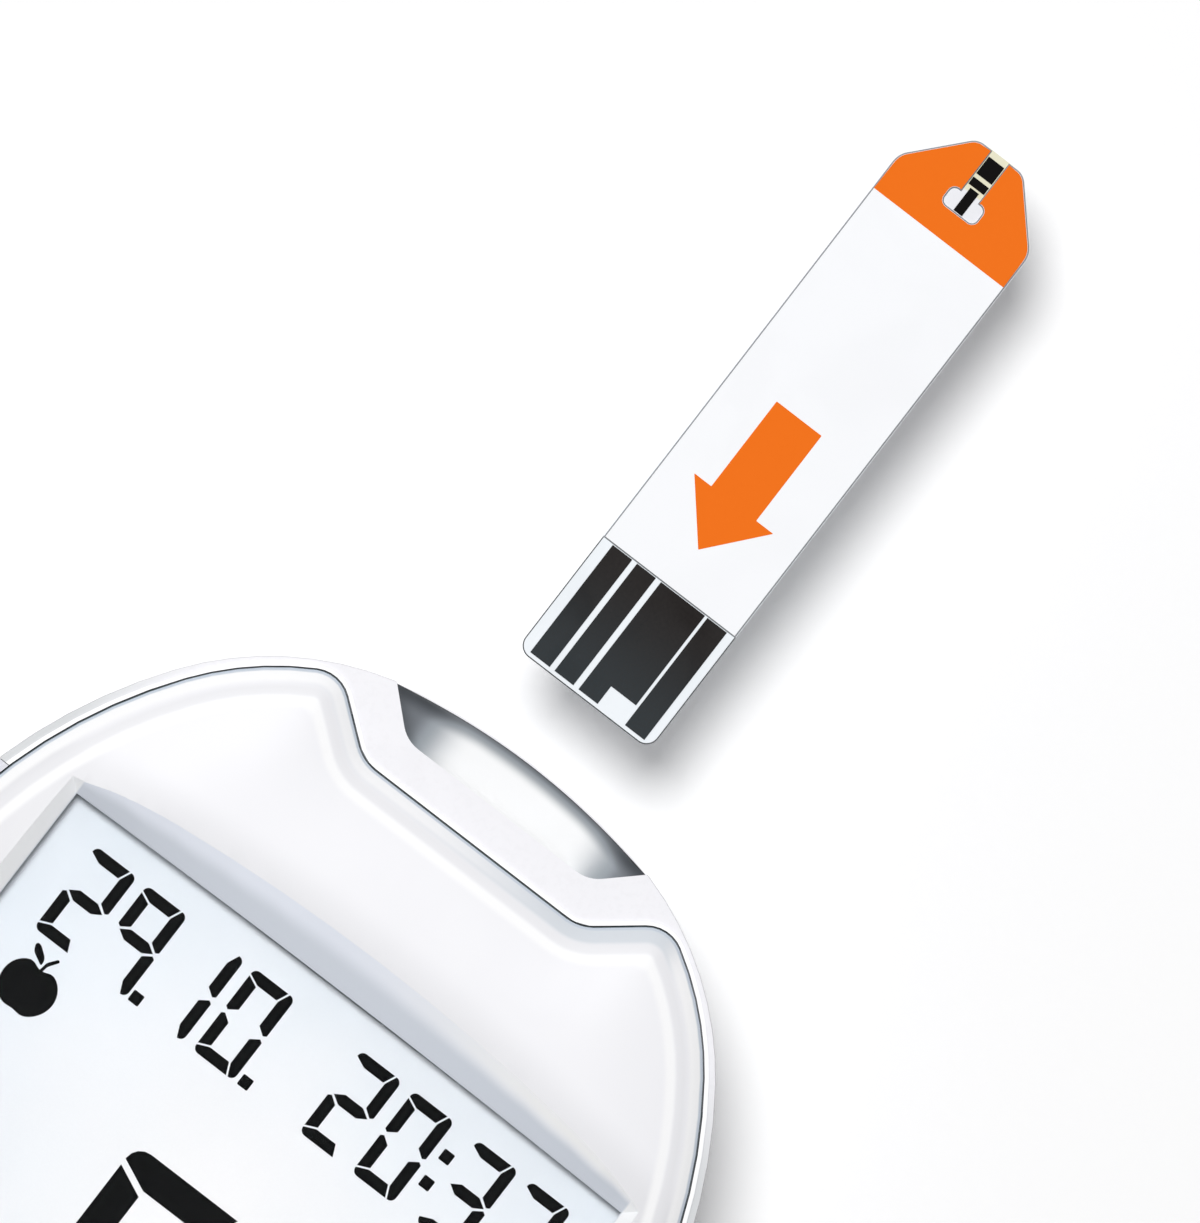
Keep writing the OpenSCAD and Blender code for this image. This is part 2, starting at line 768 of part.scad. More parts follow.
module front_cover() color("white") difference() {
    skin(crown_rings);
    translate([0, 0, ledge_z - over]) linear_extrude(plate_z - ledge_z + over)
        cover_plan(cover_wall);
    translate([0, window_y, plate_z - over]) linear_extrude(lens_top_z - plate_z + over)
        round_rect(window_w + 2 * lens_margin + 2 * fit, window_l + 2 * lens_margin + 2 * fit, 1);
    bezel_cut();
    translate([0, key_y, plate_z - over]) cylinder(h = body_h, r = power_d / 2 + key_gap);
    both_sides() at_arrow() translate([0, 0, plate_z - over]) linear_extrude(body_h)
        pill(arrow_l + 2 * key_gap, arrow_w + 2 * key_gap);
}

module display_lens() color("lightblue", 0.4)
    translate([0, window_y, lens_top_z - lens_t]) linear_extrude(lens_t)
        round_rect(window_w + 2 * lens_margin, window_l + 2 * lens_margin, 1);

frame_wall = 0.7;
glass_w = window_w + 2 * 0.8;
glass_l = window_l + 2 * 2.2;
glass_top_z = lens_top_z - lens_t - 0.15;
glass_z = glass_top_z - glass_t;
reflector_t = 0.6;
shelf_z = glass_z - reflector_t;
zebra_w = 1.8;

module lcd_glass() color("powderblue") {
    step = 2;            // the rear sheet is longer, for the zebra connectors
    translate([0, window_y, glass_z + glass_t / 2]) linear_extrude(glass_t / 2)
        square([glass_w, glass_l - 2 * step], center = true);
    translate([0, window_y, glass_z]) linear_extrude(glass_t / 2)
        square([glass_w, glass_l], center = true);
}

module lcd_reflector() color("whitesmoke")
    translate([0, window_y, shelf_z]) linear_extrude(reflector_t)
        square([glass_w - 0.4, glass_l - 2 * (zebra_w + 0.6)], center = true);

module lcd_frame() color("ivory") translate([0, window_y, 0]) difference() {
    translate([0, 0, board_top]) linear_extrude(lens_top_z - lens_t - board_top)
        round_rect(glass_w + 2 * (frame_wall + fit), glass_l + 2 * (frame_wall + fit), 1.6);
    // seat of the glass
    translate([0, 0, glass_z]) linear_extrude(body_h)
        square([glass_w + 2 * fit, glass_l + 2 * fit], center = true);
    // room under the reflector, with a shelf along both sides
    translate([0, 0, board_top - over]) linear_extrude(body_h)
        square([glass_w - 3, glass_l - 2 * (zebra_w + 1)], center = true);
    translate([0, 0, shelf_z]) linear_extrude(body_h)
        square([glass_w - 0.3, glass_l - 2 * (zebra_w + 0.5)], center = true);
    // slots for the zebra connectors
    for (y = [-1, 1]) translate([0, y * (glass_l / 2 - zebra_w / 2), board_top - over])
        linear_extrude(body_h) square([glass_w - 5, zebra_w + 2 * fit], center = true);
    // openings in the side walls over the board
    for (y = [-10, 10]) translate([-body_w, y - 3, board_top - over])
        cube([2 * body_w, 6, 3]);
}

module zebra_connectors() color("dimgray")
    for (y = [-1, 1]) translate([0, window_y + y * (glass_l / 2 - zebra_w / 2), board_top])
        linear_extrude(glass_z - board_top) square([glass_w - 5.4, zebra_w], center = true);

/* Circuit board and what it carries */

module main_board() color("seagreen") translate([0, 0, board_z]) linear_extrude(board_t)
    difference() {
        polygon(outline(board_inset));
        at_screws() circle(boss_r + 0.3);
        at_board_posts() circle(board_screw_r + 0.2);
    }

chip_h = 1.4;
lead_w = 0.4;
lead_h = 0.5;

module controller_chip() color("black") translate([-3.4, 3, board_top]) {
    size = 12;
    translate([-size / 2, -size / 2, 0.15]) cube([size, size, chip_h]);
    // leads along all four sides, 1 mm apart
    for (q = [0 : 90 : 270], i = [-5 : 5]) rotate(q)
        translate([size / 2 - 0.1, i - lead_w / 2, 0]) cube([0.9, lead_w, lead_h]);
}

module memory_chip() color("black") translate([9, 1, board_top]) {
    size = [5, 4, chip_h];
    translate([-size.x / 2, -size.y / 2, 0.1]) cube(size);
    for (x = [-1, 1], i = [-1.5 : 1 : 1.5])
        translate([x * (size.x / 2 + 0.4) - 0.5, i - lead_w / 2, 0]) cube([1, lead_w, lead_h]);
}

module quartz_crystal() color("silver") {
    translate([6, -9, board_top + 1.1]) bar_x(6, 1.1);
    translate([9, -9.35, board_top]) cube([1.4, 0.7, 1.3]);
}

module board_parts() color("tan")
    for (p = [[-16, -6], [-16, -9], [-12, -12], [-8, -12], [16, 8], [16, 5], [0, -14], [3, -14]])
        translate([p.x - 1, p.y - 0.6, board_top]) cube([2, 1.2, 0.8]);

buzzer_r = 4.8;
buzzer_place = [-13, hinge_y + buzzer_r + 15.9];

module buzzer() color("black") translate(buzzer_place) difference() {
    translate([0, 0, board_z - 2.8]) cylinder(h = 2.8, r = buzzer_r);
    translate([0, 0, board_z - 2.8 - over]) cylinder(h = 1 + over, r = 1);
}

connector_w = strip_w + 2 * slot_gap + 4;
connector_y = top_y - scoop_d - scoop_wall - 0.3;
connector_end_y = top_y + strip_off - strip_travel() - 2;
connector_top_z = ledge_z - ledge_t - 0.2;

function strip_travel() = strip_off + scoop_d + bare_l;

module strip_connector() color("ivory") difference() {
    translate([-connector_w / 2, connector_end_y, board_top])
        cube([connector_w, connector_y - connector_end_y, connector_top_z - board_top]);
    // channel of the strip
    translate([-strip_w / 2 - slot_gap, connector_end_y + 1.8, scoop_floor_z])
        cube([strip_w + 2 * slot_gap, body_l, sheet_t + film_t + 2 * slot_gap]);
    // room for the contact springs
    translate([-strip_w / 2 + 0.4, connector_end_y - over, scoop_floor_z + 0.2])
        cube([strip_w - 0.8, 8 + over, body_h]);
    // relief under the channel
    translate([-connector_w / 2 + 1.6, connector_end_y + 1.6, board_top - over])
        cube([connector_w - 3.2, connector_y - connector_end_y - 3.2,
              scoop_floor_z - 1 - board_top + over]);
}

// Middle of each contact track across the strip, with its width
tracks = [[-4.05, 1.7], [-1.95, 1.65], [1.25, 3.85], [4.25, 1.7]];

module contact_springs() color("gold") {
    leaf_t = 0.2;
    touch_y = connector_end_y + 4;
    touch_z = strip_z + sheet_t + film_t + 0.05;
    for (t = tracks) translate([t[0] - 0.4, 0, 0]) rotate([90, 0, 90]) linear_extrude(0.8) {
        // tail on the board, riser, and the bowed arm over the channel
        translate([connector_end_y - 1.6, board_top]) square([1.6, leaf_t]);
        translate([connector_end_y - leaf_t, board_top]) square([leaf_t, 5.2]);
        polygon([[connector_end_y - leaf_t, board_top + 5.2], [connector_end_y, board_top + 5.0],
                 [touch_y, touch_z], [touch_y + 1.6, touch_z + 0.7],
                 [touch_y + 1.5, touch_z + 0.9], [touch_y, touch_z + leaf_t]]);
    }
}

/* Keys and their switches */

bezel_end_y = window_y - window_l / 2 - bezel_end;
key_y = (bezel_end_y - top_y + seam_inset) / 2 + 0.1;
arrow_y = key_y + 1.6;
switch_x = 0.75 * arrow_x;     // under the inner half of each arrow key
switch_w = 5.6;
switch_h = 3.4;
plunger_h = 1;
stem_r = 1.5;
plunger_top_z = board_top + switch_h + plunger_h;

module pill(l, w) {
    square([l - w, w], center = true);
    for (x = [-1, 1]) translate([x * (l - w) / 2, 0]) circle(w / 2);
}

module at_arrow() {
    translate([arrow_x, arrow_y, 0]) rotate(arrow_tilt) children();
}

// Cap of a long key with its flange
module key_cap(l, w) {
    flange_t = 0.9;
    edge = 0.4;
    hull() {
        translate([0, 0, plate_z - 0.3]) linear_extrude(thin, $fn = 32) pill(l, w);
        translate([0, 0, body_h - edge]) linear_extrude(thin, $fn = 32) pill(l, w);
        translate([0, 0, body_h - thin]) linear_extrude(thin, $fn = 32)
            pill(l - 2 * edge, w - 2 * edge);
    }
    translate([0, 0, plate_z - fit - flange_t]) linear_extrude(flange_t)
        pill(l + 2 * key_flange, w + 2 * key_flange);
}

module stem() {
    translate([0, 0, plunger_top_z]) cylinder(h = plate_z - 0.5 - plunger_top_z, r = stem_r);
}

module power_key() color("gainsboro") {
    translate([0, key_y, 0]) {
        rotate_extrude() polygon([
            [0, plate_z - fit - 0.9], [power_d / 2 + key_flange, plate_z - fit - 0.9],
            [power_d / 2 + key_flange, plate_z - fit], [power_d / 2, plate_z - fit],
            [power_d / 2, body_h - 0.4], [power_d / 2 - 0.4, body_h], [0, body_h]
        ]);
        stem();
    }
}

module up_key() color("gainsboro") {
    at_arrow() key_cap(arrow_l, arrow_w);
    translate([switch_x, key_y, 0]) stem();
}

module down_key() color("gainsboro") mirror([1, 0, 0]) up_key();

module key_switches() color("dimgray")
    for (x = [-switch_x, 0, switch_x]) translate([x, key_y, board_top]) difference() {
        translate([-switch_w / 2, -switch_w / 2, 0]) cube([switch_w, switch_w, switch_h]);
        translate([0, 0, switch_h - 0.8]) cylinder(h = 2, r = stem_r + 0.2);
    }

module plunger(x) color("black") translate([x, key_y, 0])
    translate([0, 0, board_top + switch_h - 0.2]) cylinder(h = plunger_h + 0.2, r = stem_r + 0.1);

module power_plunger() { plunger(0); }

module up_plunger() { plunger(switch_x); }

module down_plunger() { plunger(-switch_x); }

/* Screws */

module housing_screws() color("silver") at_screws() difference() {
    union() {
        translate([0, 0, head_seat_z - head_h]) cylinder(h = head_h, r = head_r);
        cylinder_to(head_seat_z - 0.1, screw_top_z, screw_r);
    }
    // cross recess
    translate([0, 0, head_seat_z - head_h]) for (a = [0, 90]) rotate(a)
        cube([2.2, 0.5, 1.2], center = true);
}

module cylinder_to(z0, z1, r) {
    translate([0, 0, z0]) cylinder(h = z1 - z0, r = r);
}

module board_screws() color("silver") at_board_posts() {
    cylinder_to(board_top, board_top + 1, 1.5);
    cylinder_to(board_z - 3, board_top + 0.1, board_screw_r);
}

/* Test strip, drawn with its bare end at the rest position */

strip_y = top_y + strip_off;
tip_w = 4;              // width of the flat tip
tip_l = 4.2;            // length of the tapered tip
channel_w = 1.45;       // sampling channel in the tip
window_tip_y = 4.3;     // middle of the reaction window from the tip
reaction_w = 2.8;
reaction_l = 1.4;

module strip_plan(inset = 0) {
    w = strip_w / 2 - inset;
    end = strip_l - inset;
    round_poly([[-w, inset], [w, inset], [w, strip_l - tip_l], [tip_w / 2, end],
                [-tip_w / 2, end], [-w, strip_l - tip_l]],
               [1, 1, 1.6, 1.2, 1.2, 1.6]);
}

module at_strip(z) {
    translate([0, strip_y, strip_z + z]) children();
}

module strip_base() color("aliceblue") at_strip(0) linear_extrude(sheet_t) strip_plan();

track_t = 0.05;

module strip_tracks() color("#2b2a2c") at_strip(sheet_t) linear_extrude(track_t) {
    for (i = [0 : 3]) difference() {
        translate([tracks[i][0] - tracks[i][1] / 2, 0.35]) square([tracks[i][1], bare_l - 0.4]);
        if (i == 2) translate([tracks[i][0] - 0.25, 0]) square([4, 1.9]);
    }
}

// Carbon electrodes in the sampling channel
module strip_electrode() color("#1c1c1e") at_strip(sheet_t) linear_extrude(track_t) {
    w = channel_w - 0.1;
    for (s = [[0.5, 1.45], [2.25, 0.6]])
        translate([-w / 2, strip_l - s[0] - s[1]]) square([w, s[1]]);
    translate([-0.37, strip_l - 4.95]) square([0.74, 1.95]);
}

module strip_film() color("ghostwhite") at_strip(sheet_t) linear_extrude(film_t) difference() {
    intersection() {
        strip_plan(0.04);
        translate([-strip_w, bare_l]) square([2 * strip_w, strip_l]);
    }
    translate([-channel_w / 2, strip_l - window_tip_y]) square([channel_w, tip_l + 1]);
    translate([0, strip_l - window_tip_y]) round_rect(reaction_w, reaction_l, 0.45);
}

rear_housing();
upper_housing();
front_cover();
port_scoop();
grip_left();
grip_right();
display_lens();
lcd_glass();
lcd_reflector();
lcd_frame();
zebra_connectors();
main_board();
controller_chip();
memory_chip();
quartz_crystal();
board_parts();
buzzer();
strip_connector();
contact_springs();
power_key();
up_key();
down_key();
key_switches();
power_plunger();
up_plunger();
down_plunger();
battery_door();
coin_cell_left();
coin_cell_right();
cell_contacts();
housing_screws();
board_screws();
strip_base();
strip_tracks();
strip_electrode();
strip_film();
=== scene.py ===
import math

import bmesh
import bpy
from bpy.props import FloatProperty, FloatVectorProperty, PointerProperty, StringProperty
from mathutils import Matrix, Vector
from mathutils.kdtree import KDTree


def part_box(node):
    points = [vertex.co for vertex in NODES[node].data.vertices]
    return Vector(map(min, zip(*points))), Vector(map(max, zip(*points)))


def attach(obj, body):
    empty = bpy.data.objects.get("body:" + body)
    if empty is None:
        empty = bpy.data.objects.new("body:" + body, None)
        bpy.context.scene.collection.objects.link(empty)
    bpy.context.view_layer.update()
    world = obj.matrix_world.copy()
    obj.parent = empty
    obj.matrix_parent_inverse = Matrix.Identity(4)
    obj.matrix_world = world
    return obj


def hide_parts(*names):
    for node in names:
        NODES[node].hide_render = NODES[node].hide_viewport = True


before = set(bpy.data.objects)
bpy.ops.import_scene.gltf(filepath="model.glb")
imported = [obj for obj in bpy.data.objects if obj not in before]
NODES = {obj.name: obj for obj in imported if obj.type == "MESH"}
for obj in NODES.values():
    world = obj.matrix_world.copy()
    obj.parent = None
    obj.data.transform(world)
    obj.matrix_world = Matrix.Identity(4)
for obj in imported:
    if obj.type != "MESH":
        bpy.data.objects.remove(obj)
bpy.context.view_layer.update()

bl_info = {
    "name": "Blood Glucose Meter",
    "version": (1, 0, 0),
    "blender": (4, 5, 0),
    "location": "View3D > Sidebar > Meter",
    "description": "Finishes a blood glucose meter and its test strip over the packed frame",
    "category": "Object",
}

MM = 0.001
NEAR = 0.01 * MM                    # how far off a height still counts as on it

CROWN = 3                           # marks faces while they are cut and shaped
FOOT_ROUND = 0.08 * MM              # round at the foot of the bead
EVEN_WIDTH = 2 * MM                 # distance inside the roll where the crown gets evened out
SIGN_HEIGHT = 0.02                  # thickness in mm of the display's segments and the keys' signs
# painted shade, drawn on both sides of the seam between the cover and the rim
SEAM_SHADE = (0.075, 0.1, 0.115)   # down in the seam between the cover and the rim


# Settings


class MeterShellSettings(bpy.types.PropertyGroup):
    """Colours and edges of the housing, the cover, the port and the keys"""

    cover_colour: FloatVectorProperty(
        name="Cover", description="Glossy plastic of the front cover",
        subtype="COLOR", size=3, min=0, max=1, default=(0.925, 0.925, 0.955))
    rim_colour: FloatVectorProperty(
        name="Rim", description="Satin plastic round the cover and of the bridge over the port",
        subtype="COLOR", size=3, min=0, max=1, default=(0.84, 0.835, 0.87))
    rear_colour: FloatVectorProperty(
        name="Rear", description="Textured plastic of the rear housing and the battery door",
        subtype="COLOR", size=3, min=0, max=1, default=(0.72, 0.73, 0.755))
    grip_colour: FloatVectorProperty(
        name="Grips", description="Soft skin on the two sides",
        subtype="COLOR", size=3, min=0, max=1, default=(0.74, 0.745, 0.80))
    bezel_colour: FloatVectorProperty(
        name="Bezel", description="Chamfer round the window",
        subtype="COLOR", size=3, min=0, max=1, default=(0.66, 0.70, 0.77))
    # painted shade: the blue-grey of the cover's chamfer next to its seam
    edge_shade_colour: FloatVectorProperty(
        name="Cover edge", description="Cover's plastic close to its seam",
        subtype="COLOR", size=3, min=0, max=1, default=(0.60, 0.66, 0.74))
    scoop_colour: FloatVectorProperty(
        name="Port", description="Middle of the port's dish",
        subtype="COLOR", size=3, min=0, max=1, default=(0.95, 0.955, 0.96))
    key_colour: FloatVectorProperty(
        name="Keys", description="Caps of the three keys",
        subtype="COLOR", size=3, min=0, max=1, default=(0.60, 0.63, 0.69))
    # the round along the window's chamfer carries a painted highlight
    window_round: FloatProperty(
        name="Window edge", description="Width of the bright edge round the window's chamfer",
        subtype="DISTANCE", unit="LENGTH", min=0.00005, max=0.0004, default=0.00022)
    edge_round: FloatProperty(
        name="Edge round", description="Width of the rounding on moulded edges",
        subtype="DISTANCE", unit="LENGTH", min=0.00002, max=0.0002, default=0.00015)
    roll_width: FloatProperty(
        name="Roll", description="Width of the rolled edge along the cover's seam",
        subtype="DISTANCE", unit="LENGTH", min=0.0015, max=0.0025, default=0.0021)
    dome_width: FloatProperty(
        name="Dome width", description="Distance over which the crown rises inside the roll",
        subtype="DISTANCE", unit="LENGTH", min=0.004, max=0.012, default=0.0069)
    dome_rise: FloatProperty(
        name="Dome rise", description="Height that the crown gains over that distance",
        subtype="DISTANCE", unit="LENGTH", min=0.0002, max=0.001, default=0.0007)


class MeterDisplaySettings(bpy.types.PropertyGroup):
    """What the display shows, and its colours"""

    date_text: StringProperty(
        name="Date", description="Day and month, in digits and dots", default="29.10.")
    clock_text: StringProperty(
        name="Clock", description="Hours and minutes, in digits and a colon", default="20:37")
    reading_text: StringProperty(
        name="Reading", description="Measured value, in two digits", default="98")
    ink_colour: FloatVectorProperty(
        name="Segments", description="Dark segments of the display",
        subtype="COLOR", size=3, min=0, max=1, default=(0.003, 0.0032, 0.0034))
    face_colour: FloatVectorProperty(
        name="Face", description="Display away from its middle",
        subtype="COLOR", size=3, min=0, max=1, default=(0.715, 0.765, 0.815))
    # painted light: a pool of light painted in the middle of the display
    lit_middle_colour: FloatVectorProperty(
        name="Face middle", description="Display in its middle",
        subtype="COLOR", size=3, min=0, max=1, default=(0.915, 0.91, 0.915))


class MeterStripSettings(bpy.types.PropertyGroup):
    """Colours of the test strip, and the thickness of its print"""

    film_colour: FloatVectorProperty(
        name="Film", description="Cover film over the tracks",
        subtype="COLOR", size=3, min=0, max=1, default=(0.92, 0.93, 0.955))
    sheet_colour: FloatVectorProperty(
        name="Sheet", description="Polyester sheet, where the film leaves it bare",
        subtype="COLOR", size=3, min=0, max=1, default=(0.80, 0.84, 0.88))
    print_colour: FloatVectorProperty(
        name="Print", description="Arrow and sampling tip",
        subtype="COLOR", size=3, min=0, max=1, default=(0.92, 0.18, 0.012))
    track_colour: FloatVectorProperty(
        name="Tracks", description="Carbon contact tracks",
        subtype="COLOR", size=3, min=0, max=1, default=(0.011, 0.0092, 0.0092))
    print_height: FloatProperty(
        name="Print height", description="Thickness of the printed ink",
        subtype="DISTANCE", unit="LENGTH", min=0.000004, max=0.00004, default=0.000012)


class MeterStageSettings(bpy.types.PropertyGroup):
    """The floor, the camera and the light"""

    floor_colour: FloatVectorProperty(
        name="Floor", description="Plain pale floor",
        subtype="COLOR", size=3, min=0, max=1, default=(0.95, 0.95, 0.955))
    lens: FloatProperty(
        name="Lens", description="Focal length of the camera in millimetres",
        unit="CAMERA", min=100, max=2000, default=600)
    turn: FloatProperty(
        name="Turn", description="How far the meter lies turned clockwise in the frame",
        subtype="ANGLE", unit="ROTATION", default=math.radians(37.63))
    key_light: FloatProperty(
        name="Key light", description="Power of the lamp on the meter's left, in watts",
        subtype="POWER", unit="POWER", min=0, default=11.3)
    sky_light: FloatProperty(
        name="Sky light", description="Strength of the even light from all round",
        min=0, default=0.215)


# Node trees


def put(tree, kind, inputs=None, **settings):
    """Adds a node. An input given as a socket is linked, and any other is a value."""
    node = tree.nodes.new(kind)
    for key, value in settings.items():
        setattr(node, key, value)
    for key, value in (inputs or {}).items():
        if isinstance(value, bpy.types.NodeSocket):
            tree.links.new(value, node.inputs[key])
        else:
            node.inputs[key].default_value = value
    return node


def calc(tree, operation, *values, clamp=False):
    """A Math node's result."""
    node = put(tree, "ShaderNodeMath", dict(enumerate(values)), operation=operation)
    node.use_clamp = clamp
    return node.outputs[0]


def product(tree, first, *others):
    """Shares multiplied together."""
    for other in others:
        first = calc(tree, "MULTIPLY", first, other)
    return first


def away_from(tree, value, middle=None):
    """How far a value is from 0 or from a middle, either way."""
    if middle is not None:
        value = calc(tree, "SUBTRACT", value, middle)
    return calc(tree, "ABSOLUTE", value)


def long_side(tree, a, b):
    """The long side of a right triangle with these short ones."""
    return calc(tree, "SQRT", calc(tree, "ADD", calc(tree, "POWER", a, 2.0),
                                   calc(tree, "POWER", b, 2.0)))


def step_up(tree, value, low, high):
    """0 at low and 1 at high, smooth between and level beyond; low may be the higher one."""
    node = put(tree, "ShaderNodeMapRange", {"Value": value, "From Min": low, "From Max": high},
               interpolation_type="SMOOTHSTEP")
    return node.outputs["Result"]


def where(tree, *steps):
    """The product of steps given as (value, low, high)."""
    return product(tree, *(step_up(tree, *step) for step in steps))


def blend_colours(tree, share, low, high):
    """low where share is 0, and high where it is 1."""
    node = put(tree, "ShaderNodeMix", {0: share}, data_type="RGBA")
    for socket, colour in ((node.inputs[6], low), (node.inputs[7], high)):
        if isinstance(colour, bpy.types.NodeSocket):
            tree.links.new(colour, socket)
        else:
            socket.default_value = (*colour, 1)
    return node.outputs[2]


def layered(tree, tone, *layers):
    """Lays colours over a tone, each given as (share, colour)."""
    for share, colour in layers:
        tone = blend_colours(tree, share, tone, colour)
    return tone


def new_group(name, inputs, outputs):
    """An empty node group: inputs as {name: default, or None for a vector}, outputs as names."""
    tree = bpy.data.node_groups.new(name, "ShaderNodeTree")
    for key, value in inputs.items():
        kind = "NodeSocketVector" if value is None else "NodeSocketFloat"
        socket = tree.interface.new_socket(name=key, in_out="INPUT", socket_type=kind)
        if value is not None:
            socket.default_value = value
    for key in outputs:
        tree.interface.new_socket(name=key, in_out="OUTPUT", socket_type="NodeSocketFloat")
    return tree, tree.nodes.new("NodeGroupInput"), tree.nodes.new("NodeGroupOutput")


def noise(tree, vector, scale, detail, distortion=0.0):
    """A Noise texture's value."""
    node = put(tree, "ShaderNodeTexNoise", {"Vector": vector, "Scale": scale, "Detail": detail,
                                            "Distortion": distortion})
    return node.outputs["Fac"]


def moulded_group():
    """Fine grain of a mould, slow colour drift and the marks of handling."""
    tree, given, out = new_group(
        "Moulded Surface", {"Vector": None, "Grain Scale": 2600.0, "Drift Scale": 45.0},
        ("Grain", "Drift", "Handling"))
    vector, grain_scale, drift_scale = given.outputs[:3]
    fine = noise(tree, vector, grain_scale, 3.0)
    slow = noise(tree, vector, drift_scale, 2.0)
    hand = noise(tree, vector, calc(tree, "MULTIPLY", drift_scale, 3.7), 5.0, 0.8)
    tree.links.new(fine, out.inputs["Grain"])
    tree.links.new(step_up(tree, slow, 0.3, 0.7), out.inputs["Drift"])
    tree.links.new(step_up(tree, hand, 0.42, 0.7), out.inputs["Handling"])
    return tree


def metal_group():
    """Long fine lines of rolled or drawn metal, along X, and spots of tarnish."""
    tree, given, out = new_group(
        "Drawn Metal", {"Vector": None, "Line Scale": 9000.0}, ("Lines", "Tarnish"))
    vector, line_scale = given.outputs[:2]
    stretched = put(tree, "ShaderNodeVectorMath", {0: vector, 1: (0.04, 1.0, 1.0)},
                    operation="MULTIPLY")
    tree.links.new(noise(tree, stretched.outputs[0], line_scale, 4.0), out.inputs["Lines"])
    tree.links.new(step_up(tree, noise(tree, vector, 420.0, 4.0), 0.45, 0.8),
                   out.inputs["Tarnish"])
    return tree


GROUP_MAKERS = {"moulded": moulded_group, "metal": metal_group}
BUILT_GROUPS = {}


def group(tree, key, vector, **values):
    """Places a shared node group and gives its outputs."""
    if key not in BUILT_GROUPS:
        BUILT_GROUPS[key] = GROUP_MAKERS[key]()
    node = tree.nodes.new("ShaderNodeGroup")
    node.node_tree = BUILT_GROUPS[key]
    tree.links.new(vector, node.inputs["Vector"])
    for name, value in values.items():
        node.inputs[name.replace("_", " ")].default_value = value
    return tuple(node.outputs)


def new_material(name, **fixed):
    """A Principled material: (material, tree, shader, Object coordinates)."""
    material = bpy.data.materials.new(name)
    material.use_nodes = True
    tree = material.node_tree
    shader = tree.nodes["Principled BSDF"]
    for key, value in fixed.items():
        shader.inputs[key.replace("_", " ")].default_value = value
    place = put(tree, "ShaderNodeTexCoord").outputs["Object"]
    return material, tree, shader, place


def moulded_material(name, grain_scale, **fixed):
    """A Principled material's parts, and then its mould marks: grain, drift and handling."""
    material, tree, shader, place = new_material(name, **fixed)
    return material, tree, shader, place, *group(tree, "moulded", place, Grain_Scale=grain_scale)


def spread_gloss(tree, shader, share, smooth, rough):
    """Roughness that goes from one value to another with a share."""
    node = put(tree, "ShaderNodeMapRange", {"Value": share, "To Min": smooth, "To Max": rough})
    tree.links.new(node.outputs["Result"], shader.inputs["Roughness"])


def relief(tree, shader, height, depth, strength=1.0):
    """Bumps of a depth in metres."""
    node = put(tree, "ShaderNodeBump", {"Height": height, "Distance": depth, "Strength": strength})
    tree.links.new(node.outputs["Normal"], shader.inputs["Normal"])


def surface(tree, shader, tone, gloss, bumps):
    """Wires up colour, gloss as (share, smooth, rough) and bumps as (height, depth)."""
    tree.links.new(tone, shader.inputs["Base Color"])
    spread_gloss(tree, shader, *gloss)
    relief(tree, shader, *bumps)


def axes_of(tree, place):
    """Object coordinates as x, y and z in millimetres."""
    scaled = put(tree, "ShaderNodeVectorMath", {0: place, 1: (1 / MM, 1 / MM, 1 / MM)},
                 operation="MULTIPLY")
    split = put(tree, "ShaderNodeSeparateXYZ", {0: scaled.outputs[0]})
    return split.outputs["X"], split.outputs["Y"], split.outputs["Z"]


def seam_of(tree):
    """Distance from the cover's seam in millimetres, which mark_distance keeps on the mesh."""
    return put(tree, "ShaderNodeAttribute", attribute_name="seam_distance").outputs["Fac"]


def darker(colour, share):
    """A colour scaled down."""
    return tuple(c * share for c in colour)


# Finishes, whose places and distances are in millimetres and whose depths are in metres


def moulded_plastic(name, colour, shine, grain_scale, depth, drifted=0.975, **fixed):
    """Moulded plastic with its grain, a slow drift of colour and handling marks in its gloss."""
    material, tree, shader, _, grain, drift, handling = moulded_material(
        name, grain_scale, **fixed)
    surface(tree, shader, blend_colours(tree, drift, colour, darker(colour, drifted)),
            (handling, shine, shine + 0.05), (grain, depth))
    return material


def rim_plastic(look):
    """Satin plastic with fine specks, painted shade on its outer wall and down in the seam, and a
    painted highlight on the bead.
    """
    material, tree, shader, place, grain, drift, handling = moulded_material("rim_satin", 2600.0)
    _, y, z = axes_of(tree, place)
    seam = seam_of(tree)
    colour = look.rim_colour
    # painted shade on the outer wall outside the bead, away from the port end and on its upper
    # part
    wall_shade = where(tree, (seam, 0.34, 0.42), (y, 33.0, 22.0), (z, 8.6, 15.0))
    # painted highlight on the top of the bead
    bead = where(tree, (seam, 0.38, 0.33), (z, 17.5, 17.58))
    tone = layered(tree, colour,
                   (drift, darker(colour, 0.985)),
                   (step_up(tree, grain, 0.45, 0.7), darker(colour, 0.965)),
                   (wall_shade, (0.60, 0.615, 0.63)),
                   (bead, (0.97, 0.97, 0.98)),
                   (step_up(tree, seam, 0.095, 0.07), SEAM_SHADE))
    surface(tree, shader, tone, (handling, 0.4, 0.45), (grain, 0.000003))
    return material


